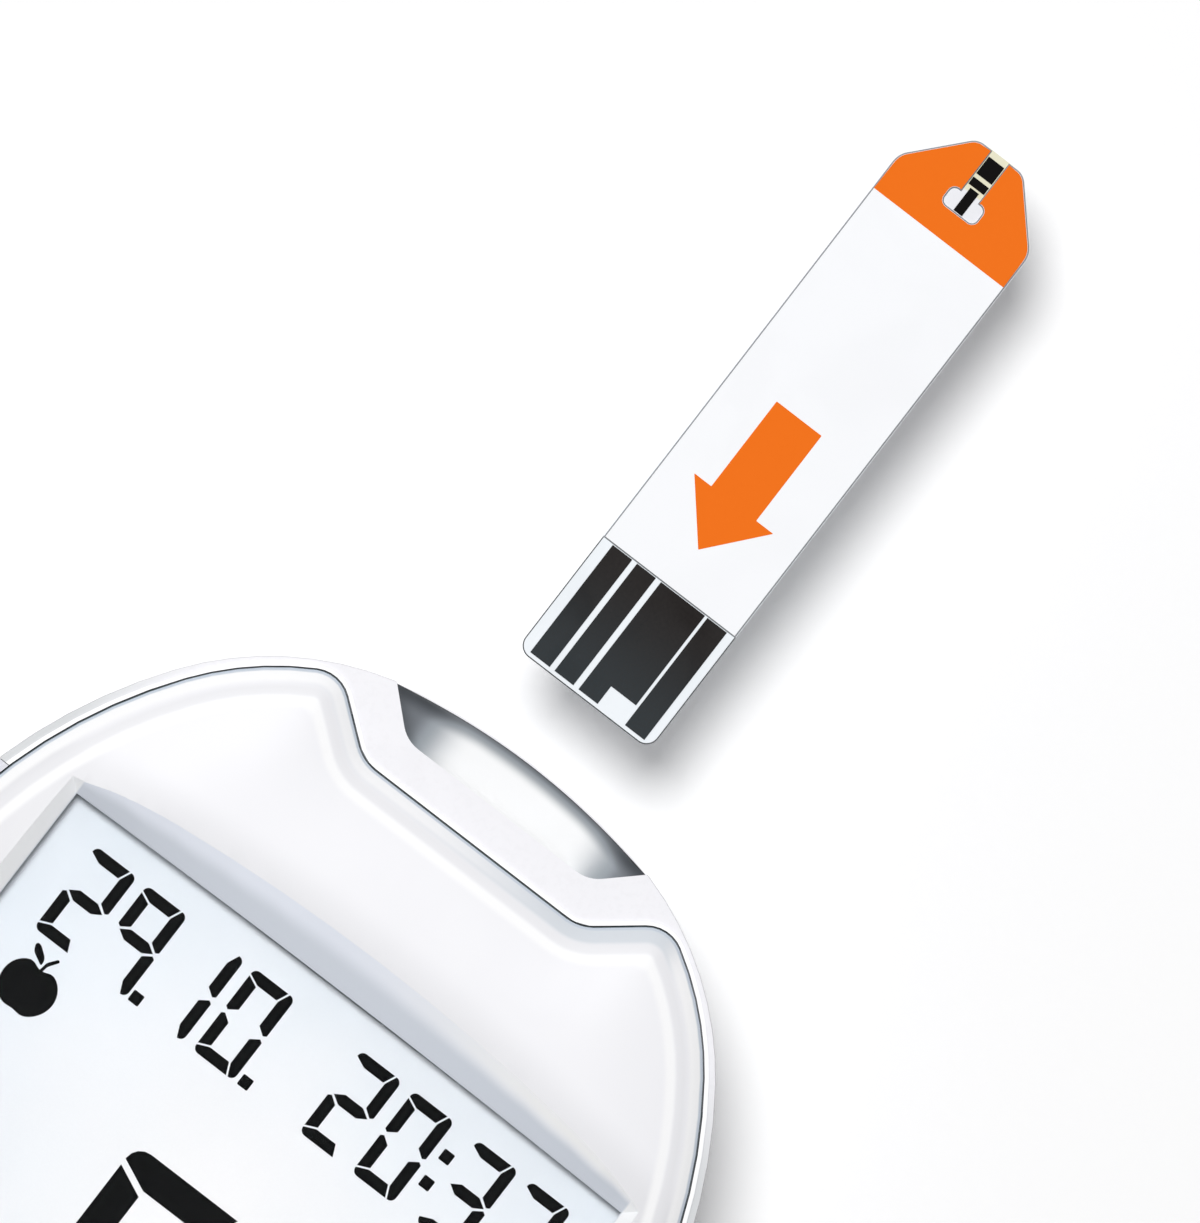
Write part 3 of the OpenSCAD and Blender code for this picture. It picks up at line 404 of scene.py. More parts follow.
def cover_plastic(look):
    """Glossy plastic with painted light: blue-grey painted shade along its seam, and a painted
    dark reflection in a soft band where the notch is.
    """
    material, tree, shader, place, grain, drift, handling = moulded_material(
        "cover_gloss", 2200.0, Specular_IOR_Level=0.22)
    x, y, _ = axes_of(tree, place)
    seam = seam_of(tree)
    colour = look.cover_colour
    # a soft shade over the window's arched top, which falls from y 22.55 to 20.35 at x 25.25
    arch = calc(tree, "SUBTRACT", 22.55, product(tree, calc(tree, "POWER", x, 2.0), 0.00345))
    shade = product(tree, step_up(tree, calc(tree, "SUBTRACT", y, arch), 3.0, 0.0), 0.8)
    # painted dark reflection on the roll in the notch, most on its right
    right = calc(tree, "ADD", 0.25, product(tree, step_up(tree, x, -7.0, 9.0), 0.75))
    notch = product(tree, right, where(tree, (y, 29.0, 31.5), (away_from(tree, x), 17.5, 14.5)))
    notch_reflection = product(tree, notch, step_up(tree, seam, 1.45, 0.95))
    # elsewhere a painted highlight beside the seam, painted shade where the crown starts and a
    # painted highlight at its crest
    painted_highlight = product(tree, calc(tree, "SUBTRACT", 1.0, notch), step_up(tree, seam, 1.15, 0.75))
    foot = product(tree, where(tree, (seam, 1.0, 1.45), (seam, 2.15, 1.7)), 0.8)
    crest_highlight = where(tree, (seam, 1.8, 2.15), (seam, 2.9, 2.4))
    tone = layered(tree, colour,
                   (drift, darker(colour, 0.985)),
                   (shade, darker(colour, 0.86)),
                   (notch_reflection, (0.70, 0.735, 0.78)),
                   (painted_highlight, (0.99, 0.99, 1.0)),
                   (foot, darker(colour, 0.9)),
                   (crest_highlight, (0.98, 0.98, 0.99)),
                   # painted shade on the chamfer by the seam, and darker painted shade down in the
                   # seam
                   (step_up(tree, seam, 0.31, 0.18), look.edge_shade_colour),
                   (step_up(tree, seam, 0.095, 0.05), SEAM_SHADE))
    surface(tree, shader, tone, (handling, 0.42, 0.46), (grain, 0.0000015))
    return material


def bezel_plastic(look):
    """Window chamfer with painted light: painted shade against the glass, painted highlights
    outwards, on its upper right and on its short sides.
    """
    material, tree, shader, place, grain, drift, handling = moulded_material("bezel_satin", 3000.0)
    x, _, z = axes_of(tree, place)
    colour = look.bezel_colour
    outer = (z, 18.6, 19.2)
    # painted shade darkens the chamfer against the glass; painted highlights lighten it outwards,
    # on its upper right and on its short sides
    tone = layered(tree, darker(colour, 0.97),
                   (step_up(tree, z, 18.05, 18.25), colour),
                   (step_up(tree, *outer), (0.85, 0.885, 0.97)),
                   (where(tree, outer, (x, -4.0, 16.0)), (1.0, 1.0, 1.0)),
                   (step_up(tree, away_from(tree, x), 23.7, 23.9), (0.975, 0.985, 1.0)),
                   (product(tree, drift, 0.15), darker(colour, 0.95)))
    surface(tree, shader, tone, (handling, 0.3, 0.36), (grain, 0.000002))
    return material


def scoop_plastic(look):
    """Port plastic, pale in the middle of its dish, with painted shade and a painted dark
    reflection towards its ends and outer lip.
    """
    material, tree, shader, place, grain, drift, handling = moulded_material(
        "port_plastic", 3400.0, Specular_IOR_Level=0.3)
    x, y, _ = axes_of(tree, place)
    # the housing's top end is an arc round y -10, and inwards is how far in from it a point is
    end_radius, end_centre = 50.0, -10.0
    inwards = calc(tree, "SUBTRACT", end_radius,
                   long_side(tree, x, calc(tree, "SUBTRACT", y, end_centre)))
    beside = away_from(tree, x, 0.7)
    # painted light: the dish is pale where it is lit, and painted shade takes over towards the
    # ends and the lip
    light = where(tree, (beside, 9.6, 4.2), (inwards, 0.1, 1.65))
    shade_charcoal = (0.17, 0.185, 0.205)
    tone = layered(tree, shade_charcoal,
                   (step_up(tree, light, 0.0, 0.25), (0.32, 0.35, 0.38)),
                   (step_up(tree, light, 0.2, 1.05), look.scoop_colour),
                   # painted shade darkest at the dish's ends and along its outer lip
                   (where(tree, (inwards, 1.6, 0.3), (beside, 5.5, 9.0)), (0.035, 0.04, 0.048)),
                   (step_up(tree, inwards, 0.3, 0.12), (0.003, 0.0035, 0.004)),
                   (product(tree, drift, 0.12), shade_charcoal))
    surface(tree, shader, tone, (handling, 0.5, 0.6), (grain, 0.000004))
    return material


def soft_skin(look):
    """Grip skin with a fine pebbled surface."""
    material, tree, shader, place, _, drift, handling = moulded_material(
        "grip_skin", 1800.0, Sheen_Weight=0.25, Sheen_Roughness=0.5)
    pebbles = put(tree, "ShaderNodeTexVoronoi", {"Vector": place, "Scale": 1500.0},
                  feature="SMOOTH_F1").outputs["Distance"]
    colour = look.grip_colour
    tone = layered(tree, colour, (handling, darker(colour, 0.93)), (pebbles, darker(colour, 0.97)))
    surface(tree, shader, tone, (drift, 0.52, 0.64), (pebbles, 0.00002, 0.5))
    return material


def clear_acrylic():
    """Clear window that lets lamps through to what is behind it."""
    material, tree, shader, place = new_material(
        "clear_acrylic", Transmission_Weight=1.0, IOR=1.1, Metallic=0.0)
    _, drift, handling = group(tree, "moulded", place, Drift_Scale=90.0)
    tree.links.new(blend_colours(tree, drift, (0.985, 0.99, 1.0), (0.97, 0.985, 1.0)),
                   shader.inputs["Base Color"])
    spread_gloss(tree, shader, handling, 0.0, 0.01)
    path = put(tree, "ShaderNodeLightPath")
    bare = put(tree, "ShaderNodeBsdfTransparent")
    through = calc(tree, "MAXIMUM", path.outputs["Is Shadow Ray"], path.outputs["Is Diffuse Ray"])
    mixed = put(tree, "ShaderNodeMixShader",
                {0: through, 1: shader.outputs[0], 2: bare.outputs[0]})
    tree.links.new(mixed.outputs[0], tree.nodes["Material Output"].inputs["Surface"])
    return material


def display_face(look):
    """Pale display with a painted pool of light in its middle, painted shade towards its edges,
    and the fine grain of its reflector.
    """
    material, tree, shader, place = new_material(
        "display_face", Coat_Weight=0.1, Coat_Roughness=0.1)
    x, y, _ = axes_of(tree, place)
    grain, drift, _ = group(tree, "moulded", place, Grain_Scale=5200.0, Drift_Scale=60.0)
    across = calc(tree, "DIVIDE", calc(tree, "SUBTRACT", x, 2.0), 27.0)
    along = calc(tree, "DIVIDE", calc(tree, "ADD", y, 1.0), 24.0)
    # painted light falling off from the middle into painted shade towards the edges
    painted_falloff = step_up(tree, long_side(tree, across, along), 0.1, 1.15)
    tone = layered(tree, look.lit_middle_colour,
                   (painted_falloff, look.face_colour),
                   (product(tree, grain, 0.10), darker(look.face_colour, 0.82)))
    surface(tree, shader, tone, (drift, 0.42, 0.5), (grain, 0.000002))
    return material


def printed(name, colour, shade, shine=0.5, specks=0.25, depth=0.000003):
    """Flat ink with a slightly uneven lay-down."""
    material, tree, shader, _, grain, drift, _ = moulded_material(
        name, 2400.0, Specular_IOR_Level=0.03)
    surface(tree, shader, blend_colours(tree, product(tree, grain, specks), colour, shade),
            (drift, shine, shine + 0.1), (grain, depth))
    return material


def strip_sheet(look, far):
    """Polyester, cream along the sampling channel at the far end."""
    material, tree, shader, place, grain, _, handling = moulded_material("polyester_sheet", 2600.0)
    x, y, _ = axes_of(tree, place)
    bare = look.sheet_colour
    channel = where(tree, (y, far - 3.4, far - 3.2), (away_from(tree, x), 1.2, 1.0))
    tone = layered(tree, bare,
                   (step_up(tree, y, 60.0, 80.0), (0.74, 0.74, 0.78)),
                   (channel, (0.70, 0.66, 0.44)),
                   (product(tree, grain, 0.2), darker(bare, 0.93)))
    surface(tree, shader, tone, (handling, 0.42, 0.5), (grain, 0.000003))
    return material


def carbon_ink(look):
    """Carbon tracks, browner near the film and bluer at the contact end."""
    material, tree, shader, place, grain, _, handling = moulded_material(
        "carbon_ink", 4200.0, Specular_IOR_Level=0.06)
    _, y, _ = axes_of(tree, place)
    tone = layered(tree, (0.028, 0.037, 0.043),
                   (step_up(tree, y, 46.0, 55.0), look.track_colour),
                   (product(tree, grain, 0.5), (0.030, 0.026, 0.024)))
    surface(tree, shader, tone, (handling, 0.5, 0.66), (grain, 0.000008))
    return material


def circuit_board():
    """Green solder mask over copper tracks, on glass fibre."""
    material, tree, shader, place, _, drift, handling = moulded_material(
        "solder_mask", 1500.0, Coat_Weight=0.3, Coat_Roughness=0.2)
    tracks = []
    for turn, width, offset in ((0.0, 0.0042, 0.0), (math.pi / 2, 0.0031, 0.0007)):
        turned = put(tree, "ShaderNodeMapping",
                     {"Vector": place, "Rotation": (0, 0, turn), "Location": (offset, offset, 0)})
        brick = put(tree, "ShaderNodeTexBrick",
                    {"Vector": turned.outputs[0], "Scale": 1.0, "Brick Width": width,
                     "Row Height": width * 0.36, "Mortar Size": 0.00011, "Mortar Smooth": 0.2},
                    offset=0.37, offset_frequency=3)
        tracks.append(brick.outputs["Fac"])
    copper = calc(tree, "MAXIMUM", *tracks)
    tone = layered(tree, (0.012, 0.085, 0.035),
                   (drift, (0.016, 0.10, 0.042)), (copper, (0.035, 0.19, 0.07)))
    surface(tree, shader, tone, (handling, 0.3, 0.42), (copper, 0.00002))
    return material


def chip_epoxy(name, node=None, half_body=None):
    """Moulded epoxy. On a chip, what lies further out than half its body is a tinned lead."""
    material, tree, shader, place, grain, _, _ = moulded_material(name, 3800.0, Roughness=0.62)
    tone = blend_colours(tree, grain, (0.010, 0.010, 0.012), (0.022, 0.022, 0.024))
    if node:
        low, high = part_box(node)
        centre = (low + high) / 2 / MM
        x, y, _ = axes_of(tree, place)
        lead = calc(tree, "MAXIMUM",
                    calc(tree, "GREATER_THAN", away_from(tree, x, centre.x), half_body[0]),
                    calc(tree, "GREATER_THAN", away_from(tree, y, centre.y), half_body[1]))
        tone = blend_colours(tree, lead, tone, (0.58, 0.59, 0.60))
        tree.links.new(lead, shader.inputs["Metallic"])
        spread_gloss(tree, shader, lead, 0.62, 0.3)
    tree.links.new(tone, shader.inputs["Base Color"])
    relief(tree, shader, grain, 0.00001)
    return material


def drawn_metal(name, colour, tarnished, shine, turn=0.0, rings=None):
    """Rolled or drawn metal with fine lines, or turned rings round a point."""
    material, tree, shader, place = new_material(name, Metallic=1.0)
    turned = put(tree, "ShaderNodeMapping", {"Vector": place, "Rotation": (0, 0, turn)})
    lines, tarnish = group(tree, "metal", turned.outputs[0])
    if rings is not None:
        centred = put(tree, "ShaderNodeMapping",
                      {"Vector": place, "Location": (-rings.x * MM, -rings.y * MM, 0)})
        wave = put(tree, "ShaderNodeTexWave",
                   {"Vector": centred.outputs[0], "Scale": 900.0, "Distortion": 0.6,
                    "Detail": 2.0, "Detail Scale": 2.0},
                   wave_type="RINGS", rings_direction="Z")
        lines = calc(tree, "ADD", product(tree, wave.outputs["Fac"], 0.6),
                     product(tree, lines, 0.4))
    tone = layered(tree, colour,
                   (lines, darker(colour, 0.86)), (product(tree, tarnish, 0.4), tarnished))
    surface(tree, shader, tone, (lines, shine, shine + 0.16), (lines, 0.000004))
    return material


def striped_rubber():
    """Connector rubber in fine conductive and plain layers."""
    material, tree, shader, place = new_material("striped_rubber")
    wave = put(tree, "ShaderNodeTexWave", {"Vector": place, "Scale": 1600.0, "Distortion": 0.0},
               wave_type="BANDS", bands_direction="X").outputs["Fac"]
    _, drift, _ = group(tree, "moulded", place)
    tone = blend_colours(tree, step_up(tree, wave, 0.4, 0.6), (0.02, 0.02, 0.022),
                         (0.32, 0.33, 0.36))
    surface(tree, shader, tone, (drift, 0.6, 0.72), (wave, 0.000008))
    return material


def ceramic():
    """The tan body of small ceramic parts."""
    material, tree, shader, _, grain, drift, _ = moulded_material("ceramic_parts", 6000.0)
    surface(tree, shader, blend_colours(tree, grain, (0.30, 0.20, 0.11), (0.38, 0.27, 0.16)),
            (drift, 0.35, 0.5), (grain, 0.000006))
    return material


# Meshes


def finished(bm, name, body, materials, crease=30.0, replaces=()):
    """Makes the bmesh a piece that rides on a body, smooth but for its creases."""
    mesh = bpy.data.meshes.new(name)
    bm.to_mesh(mesh)
    bm.free()
    own_normals = mesh.attributes.get("custom_normal")
    if own_normals:
        mesh.attributes.remove(own_normals)
    mesh.shade_smooth()
    mesh.set_sharp_from_angle(angle=math.radians(crease))
    for material in materials:
        mesh.materials.append(material)
    piece = bpy.data.objects.new(name, mesh)
    bpy.context.scene.collection.objects.link(piece)
    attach(piece, body)
    if replaces:
        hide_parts(*replaces)
    return piece


def merged_copy(node):
    """A CAD node's triangles as one closed mesh, its flat faces joined."""
    bm = bmesh.new()
    bm.from_mesh(NODES[node].data)
    bmesh.ops.remove_doubles(bm, verts=bm.verts, dist=0.002 * MM)
    bmesh.ops.dissolve_degenerate(bm, dist=0.001 * MM, edges=bm.edges)
    bmesh.ops.dissolve_limit(bm, angle_limit=math.radians(0.4), verts=bm.verts, edges=bm.edges,
                             delimit=set())
    for face in bm.faces:
        face.material_index = 0
    return bm


def even_shading(piece):
    """Large faces keep flat shading up to the creases."""
    weigh = piece.modifiers.new("Even shading", "WEIGHTED_NORMAL")
    weigh.keep_sharp = True
    weigh.weight = 80


def refinish(node, name, body, material, crease=30.0):
    """An evenly shaded copy that stands for a CAD node."""
    even_shading(finished(merged_copy(node), name, body, [material], crease, [node]))


def dress(node, material):
    """Gives a CAD node its finish."""
    mesh = NODES[node].data
    mesh.materials.clear()
    mesh.materials.append(material)


def everything(bm):
    """All the geometry, for the operators that take it as one list."""
    return [*bm.verts, *bm.edges, *bm.faces]


def marked(bm, index):
    """The faces with a material index."""
    return [f for f in bm.faces if f.material_index == index]


def once(items):
    """Each item once, in order, so that every run works through a mesh in the same way."""
    return list(dict.fromkeys(items))


def points_of(faces):
    """The points of some faces."""
    return once(v for f in faces for v in f.verts)


def edges_of(faces):
    """The edges of some faces."""
    return once(e for f in faces for e in f.edges)


def unmark_crown(bm):
    """Gives the crown's faces the first material, once they have their shape."""
    for face in marked(bm, CROWN):
        face.material_index = 0


def is_sharp(edge, degrees):
    """Whether two faces meet at an edge by more than an angle."""
    return len(edge.link_faces) == 2 and edge.calc_face_angle() > math.radians(degrees)


def is_level(edge, z):
    """Whether an edge lies at a height."""
    return all(abs(v.co.z - z) < NEAR for v in edge.verts)


def bevel_edges(bm, edges, width, index, segments=2):
    """Rounds edges over a width, the new faces getting a material index."""
    bmesh.ops.bevel(bm, geom=edges, offset=width, offset_type="OFFSET", segments=segments,
                    profile=0.5, affect="EDGES", clamp_overlap=True, material=index)


def move(bm, verts, x, y, z):
    """Moves points by millimetres."""
    bmesh.ops.translate(bm, vec=Vector((x, y, z)) * MM, verts=list(verts))


def thicken(bm, height):
    """Makes flat faces a plate that reaches up by a height in millimetres."""
    grown = bmesh.ops.extrude_face_region(bm, geom=bm.faces[:])["geom"]
    move(bm, [v for v in grown if isinstance(v, bmesh.types.BMVert)], 0, 0, height)
    bmesh.ops.recalc_face_normals(bm, faces=bm.faces[:])


def flat_shape(points, z, height, corner=0.0, round_at=None):
    """A thin plate from a few corners in millimetres, with some corners rounded."""
    bm = bmesh.new()
    corners = [bm.verts.new(Vector((x, y, z)) * MM) for x, y in points]
    bm.faces.new(corners)
    if corner:
        chosen = corners if round_at is None else [corners[i] for i in round_at]
        bmesh.ops.bevel(bm, geom=chosen, offset=corner * MM, offset_type="OFFSET", segments=4,
                        profile=0.5, affect="VERTICES", material=-1)
    thicken(bm, height)
    return bm


def joined(parts):
    """Several bmeshes as one."""
    whole = bmesh.new()
    for part in parts:
        mesh = bpy.data.meshes.new("part")
        part.to_mesh(mesh)
        part.free()
        whole.from_mesh(mesh)
        bpy.data.meshes.remove(mesh)
    return whole


def spaced(loop, step):
    """A closed line with more points, at most a step apart."""
    points = []
    for a, b in zip(loop, loop[1:] + loop[:1]):
        steps = max(1, math.ceil((b - a).length / step))
        points += [a.lerp(b, i / steps) for i in range(steps)]
    return points


def seam_tree(cover):
    """Closely spaced points along the cover's seam, which is one ring, to measure from."""
    top_of_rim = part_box("upper_housing")[1].z
    edges = [e for e in cover.edges if is_level(e, top_of_rim)]
    vert = edges[0].verts[0]
    loop = []
    while edges:
        loop.append(vert.co.xy)
        along = next(e for e in vert.link_edges if e in edges)
        edges.remove(along)
        vert = along.other_vert(vert)
    points = spaced(loop, 0.25 * MM)
    for _ in range(3):          # soften the corners between the outline's short straight edges
        points = [(a + b) / 2 for a, b in zip(points, points[1:] + points[:1])]
    points = spaced(points, 0.08 * MM)
    tree = KDTree(len(points))
    for i, point in enumerate(points):
        tree.insert(point.to_3d(), i)
    tree.balance()
    return tree


def distance_to(seam, place):
    """How far a place is from the seam, seen from above."""
    return seam.find((place.x, place.y, 0))[2]


def mark_distance(bm, seam):
    """Keeps each point's distance from the seam, in millimetres, for the finish."""
    reach = bm.verts.layers.float.new("seam_distance")
    for vert in bm.verts:
        vert[reach] = distance_to(seam, vert.co) / MM


def on_a_cut(edge):
    """Whether an edge lies on one of the lines a millimetre apart."""
    a, b = (v.co / MM for v in edge.verts)
    return any(abs(a[axis] - b[axis]) < 0.002 and abs(a[axis] - round(a[axis])) < 0.003
               for axis in (0, 1))


def cut_crown(bm):
    """Cuts the marked faces along lines a millimetre apart, both ways."""
    for axis, normal in ((0, Vector((1, 0, 0))), (1, Vector((0, 1, 0)))):
        places = [v.co[axis] / MM for v in points_of(marked(bm, CROWN))]
        for i in range(math.ceil(min(places)), math.floor(max(places)) + 1):
            faces = marked(bm, CROWN)
            bmesh.ops.bisect_plane(bm, geom=[*faces, *edges_of(faces), *points_of(faces)],
                                   dist=0.001 * MM, plane_co=normal * i * MM, plane_no=normal)
    stray = [e for e in bm.edges if len(e.link_faces) == 2 and not on_a_cut(e)
             and all(f.material_index == CROWN for f in e.link_faces)]
    bmesh.ops.dissolve_edges(bm, edges=stray, use_verts=True, use_face_split=False)


def inside_roll(seam, place, width, look):
    """How far a place is inside the roll, as a share of a width: 0 at the roll, 1 at most."""
    return min(1.0, max(0.0, distance_to(seam, place) - look.roll_width) / width)


def crown_height(seam, place, crown_z, look):
    """Height of the crown, which rises from the roll to its full height inside the dome."""
    share = inside_roll(seam, place, look.dome_width, look)
    return crown_z - look.dome_rise * (1 - share) ** 2


# Steps from a place to sixteen nearby, in eight directions
AROUND = [Vector((math.cos(a), math.sin(a), 0)) * r * MM
          for r in (1.0, 2.0) for a in (i * math.pi / 4 for i in range(8))]


def evened_height(seam, place, crown_z, look):
    """The crown's height, which away from the roll is the mean of the heights nearby."""
    here = crown_height(seam, place, crown_z, look)
    nearby = [crown_height(seam, place + step, crown_z, look) for step in AROUND]
    share = inside_roll(seam, place, EVEN_WIDTH, look)
    soft = share * share * (3 - 2 * share)
    return here + (sum(nearby) / len(nearby) - here) * soft


def shape_crown(bm, seam, crown_z, look):
    """Cuts the crown into small squares and raises them by their distance from the seam."""
    crown = marked(bm, CROWN)
    for vert in points_of(crown):
        vert.co.z = crown_z
    bmesh.ops.dissolve_limit(bm, angle_limit=math.radians(1), delimit={"MATERIAL"},
                             verts=points_of(crown), edges=edges_of(crown))
    cut_crown(bm)
    crown = marked(bm, CROWN)
    for vert in points_of(crown):
        vert.co.z = evened_height(seam, vert.co, crown_z, look)
    bmesh.ops.triangulate(bm, faces=crown)
    bmesh.ops.recalc_face_normals(bm, faces=bm.faces[:])


# Pieces


def upper_shell(look):
    """The upper housing with its top cut into squares. Its rounds are material 1, its foot 2."""
    bm = merged_copy("upper_housing")
    bridge_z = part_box("port_scoop")[1].z
    rims = [e for e in bm.edges if is_level(e, bridge_z) and is_sharp(e, 20)]
    outer = [e for e in rims if e.is_convex]
    inner = [e for e in rims if not e.is_convex]
    bevel_edges(bm, outer, look.edge_round, 1)
    bevel_edges(bm, inner, FOOT_ROUND, 2)
    for face in bm.faces:
        if face.normal.z > 0.99 and face.calc_center_median().z > bridge_z - NEAR:
            face.material_index = CROWN
    cut_crown(bm)
    unmark_crown(bm)
    cover = merged_copy("front_cover")
    mark_distance(bm, seam_tree(cover))
    cover.free()
    return bm


class METER_OT_housing(bpy.types.Operator):
    """Finish the rear, upper and grip mouldings"""

    bl_idname = "meter.housing"
    bl_label = "Housing"

    def execute(self, context):
        look = context.scene.meter_shell
        # painted shade on the rounded outer edges of the top, and at the foot of the bead
        edge = moulded_plastic("rim_edge_shade", darker(look.rim_colour, 0.22), 0.5, 2600.0, 0.000003)
        foot = moulded_plastic("bead_foot_shade", darker(look.rim_colour, 0.6), 0.4, 2600.0, 0.000003)
        even_shading(finished(upper_shell(look), "upper_shell", "meter",
                              [rim_plastic(look), edge, foot], replaces=["upper_housing"]))
        refinish("rear_housing", "rear_shell", "meter",
                 moulded_plastic("rear_textured", look.rear_colour, 0.5, 1500.0, 0.000014))
        skin = soft_skin(look)
        for side in ("left", "right"):
            refinish(f"grip_{side}", f"grip_skin_{side}", "meter", skin)
        return {"FINISHED"}


def is_chamfer(face, lens_low, lens_high):
    """Whether a face is on the chamfer round the lens, which is widest along the lens's top."""
    side, bottom, top = 0.3 * MM, 1.6 * MM, 2.4 * MM
    middle = face.calc_center_median()
    return (abs(middle.x) < lens_high.x + side
            and lens_low.y - bottom < middle.y < lens_high.y + top
            and middle.z > lens_high.z and face.normal.z < 0.96)


def cover_shell(look):
    """The front cover with its crown raised. The chamfer is material 1, and its round with a
    painted highlight 2.
    """
    bm = merged_copy("front_cover")
    seam = seam_tree(bm)
    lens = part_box("display_lens")
    crown_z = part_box("front_cover")[1].z
    for face in bm.faces:
        lowest = min(v.co.z for v in face.verts)
        if is_chamfer(face, *lens):
            face.material_index = 1
        elif face.normal.z > 0.9 and lowest > crown_z - look.dome_rise - NEAR:
            face.material_index = CROWN
    shape_crown(bm, seam, crown_z, look)
    rim = [e for e in bm.edges if {f.material_index for f in e.link_faces} == {1, CROWN}]
    bevel_edges(bm, rim, look.window_round, 2)
    mark_distance(bm, seam)
    unmark_crown(bm)
    return bm


class METER_OT_cover(bpy.types.Operator):
    """Finish the front cover and the chamfer round its window"""

    bl_idname = "meter.cover"
    bl_label = "Front Cover"

    def execute(self, context):
        look = context.scene.meter_shell
        # painted highlight: plain white on the round along the window's chamfer
        painted_highlight = moulded_plastic("cover_painted_highlight", (1.0, 1.0, 1.0), 0.3, 2200.0, 0.0000015, 0.99)
        even_shading(finished(cover_shell(look), "cover_shell", "meter",
                              [cover_plastic(look), bezel_plastic(look), painted_highlight],
                              replaces=["front_cover"]))
        return {"FINISHED"}


class METER_OT_port(bpy.types.Operator):
    """Finish the dished scoop of the strip port"""

    bl_idname = "meter.port"
    bl_label = "Strip Port"

    def execute(self, context):
        refinish("port_scoop", "port_dish", "meter",
                 scoop_plastic(context.scene.meter_shell), crease=40.0)
        return {"FINISHED"}


# Which segments each digit lights, by their usual letters
LIT = {"0": "abcdef", "1": "bc", "2": "abged", "3": "abgcd", "4": "fgbc", "5": "afgcd",
       "6": "afgedc", "7": "abc", "8": "abcdefg", "9": "abcfg"}

# Digits in millimetres: width, height, stroke, gap between segments and outer corners
SMALL = {"w": 3.55, "h": 7.1, "t": 0.87, "gap": 0.14, "corner": 0.46}
LARGE = {"w": 10.6, "h": 18.0, "t": 2.35, "gap": 0.5, "corner": 1.25}

# Left edges of the signs in each row, and the rows' lower edges
DATE_X = (-20.46, -16.03, -12.3, -11.05, -6.62, -2.75)
CLOCK_X = (2.7, 7.28, 11.43, 12.87, 17.5)
READING_X = (-5.67, 6.93)
SMALL_Y, LARGE_Y = 9.9, -15.6
MEAL_PLACE = (-18.26, 6.3)


def segment_shapes(w, h, t, g):
    """The seven segments of a digit: corners, and which of them is rounded."""
    m = h / 2
    s = t / 2
    k = t * 0.55         # how far from an outer corner the mitre starts
    p = t * 0.28         # how far inside the outer edge the middle ends are pointed
    q = t * 0.17         # and how much shorter their outer edge is
    n = s * 0.4          # how far the middle bar's points stay back
    return {
        "a": ([(0, h - k), (0, h), (w - k - g, h), (w - t - g, h - t), (t, h - t)], [1]),
        "b": ([(w - k, h), (w, h), (w, m + g + q), (w - p, m + g), (w - t, m + s + g),
               (w - t, h - t)], [1]),
        "c": ([(w, m - g - q), (w, 0), (w - k, 0), (w - t, t), (w - t, m - s - g),
               (w - p, m - g)], [1]),
        "d": ([(w - k - g, 0), (0, 0), (0, k), (t, t), (w - t - g, t)], [1]),
        "e": ([(0, m - g - q), (p, m - g), (t, m - s - g), (t, t + g), (0, k + g)], []),
        "f": ([(0, h - k - g), (t, h - t - g), (t, m + s + g), (p, m + g), (0, m + g + q)], []),
        "g": ([(g + n, m), (t + g, m + s), (w - t - g, m + s), (w - g - n, m),
               (w - t - g, m - s), (t + g, m - s)], []),
    }


def digit_row(text, starts, y, z, w, h, t, gap, corner):
    """Digits, dots and colons as thin plates; starts are their left edges."""
    parts = []
    for sign, x in zip(text, starts):
        if sign in LIT:
            shapes = segment_shapes(w, h, t, gap)
            for letter in LIT[sign]:
                points, round_at = shapes[letter]
                parts.append(flat_shape([(x + px, y + py) for px, py in points], z, SIGN_HEIGHT,
                                        corner if round_at else 0, round_at))
        else:
            spots = (0.0,) if sign == "." else (h * 0.30, h * 0.62)
            for spot in spots:
                low, high = y + spot, y + spot + t
                parts.append(flat_shape([(x, low), (x + t, low), (x + t, high), (x, high)],
                                        z, SIGN_HEIGHT, corner * 0.2))
    return joined(parts)


def meal_sign(x, y, z):
    """A plain round fruit with a stalk and a leaf, as a sign for a meal."""
    radius, dent_width = 2.0 * MM, 0.6 * MM
    fruit = bmesh.new()
    for v in bmesh.ops.create_circle(fruit, cap_ends=True, radius=radius, segments=40)["verts"]:
        dent = 0.5 if v.co.y > 0 else 0.25
        v.co.y -= math.copysign(dent * math.exp(-(v.co.x / dent_width) ** 2) * MM, v.co.y)
        v.co.x *= 1.06 + 0.05 * v.co.y / radius
    thicken(fruit, SIGN_HEIGHT)
    leaf = flat_shape([(-0.15, 1.75), (-0.25, 2.35), (-1.1, 3.0), (-1.45, 2.9), (-1.2, 2.3)],
                      0, SIGN_HEIGHT, 0.22)
    stalk = flat_shape([(-0.12, 1.3), (0.12, 1.3), (0.22, 2.0), (0.75, 2.75), (0.55, 2.88),
                        (0.02, 2.2)], 0, SIGN_HEIGHT, 0.1)
    whole = joined([fruit, leaf, stalk])
    move(whole, whole.verts, x, y, z)
    return whole


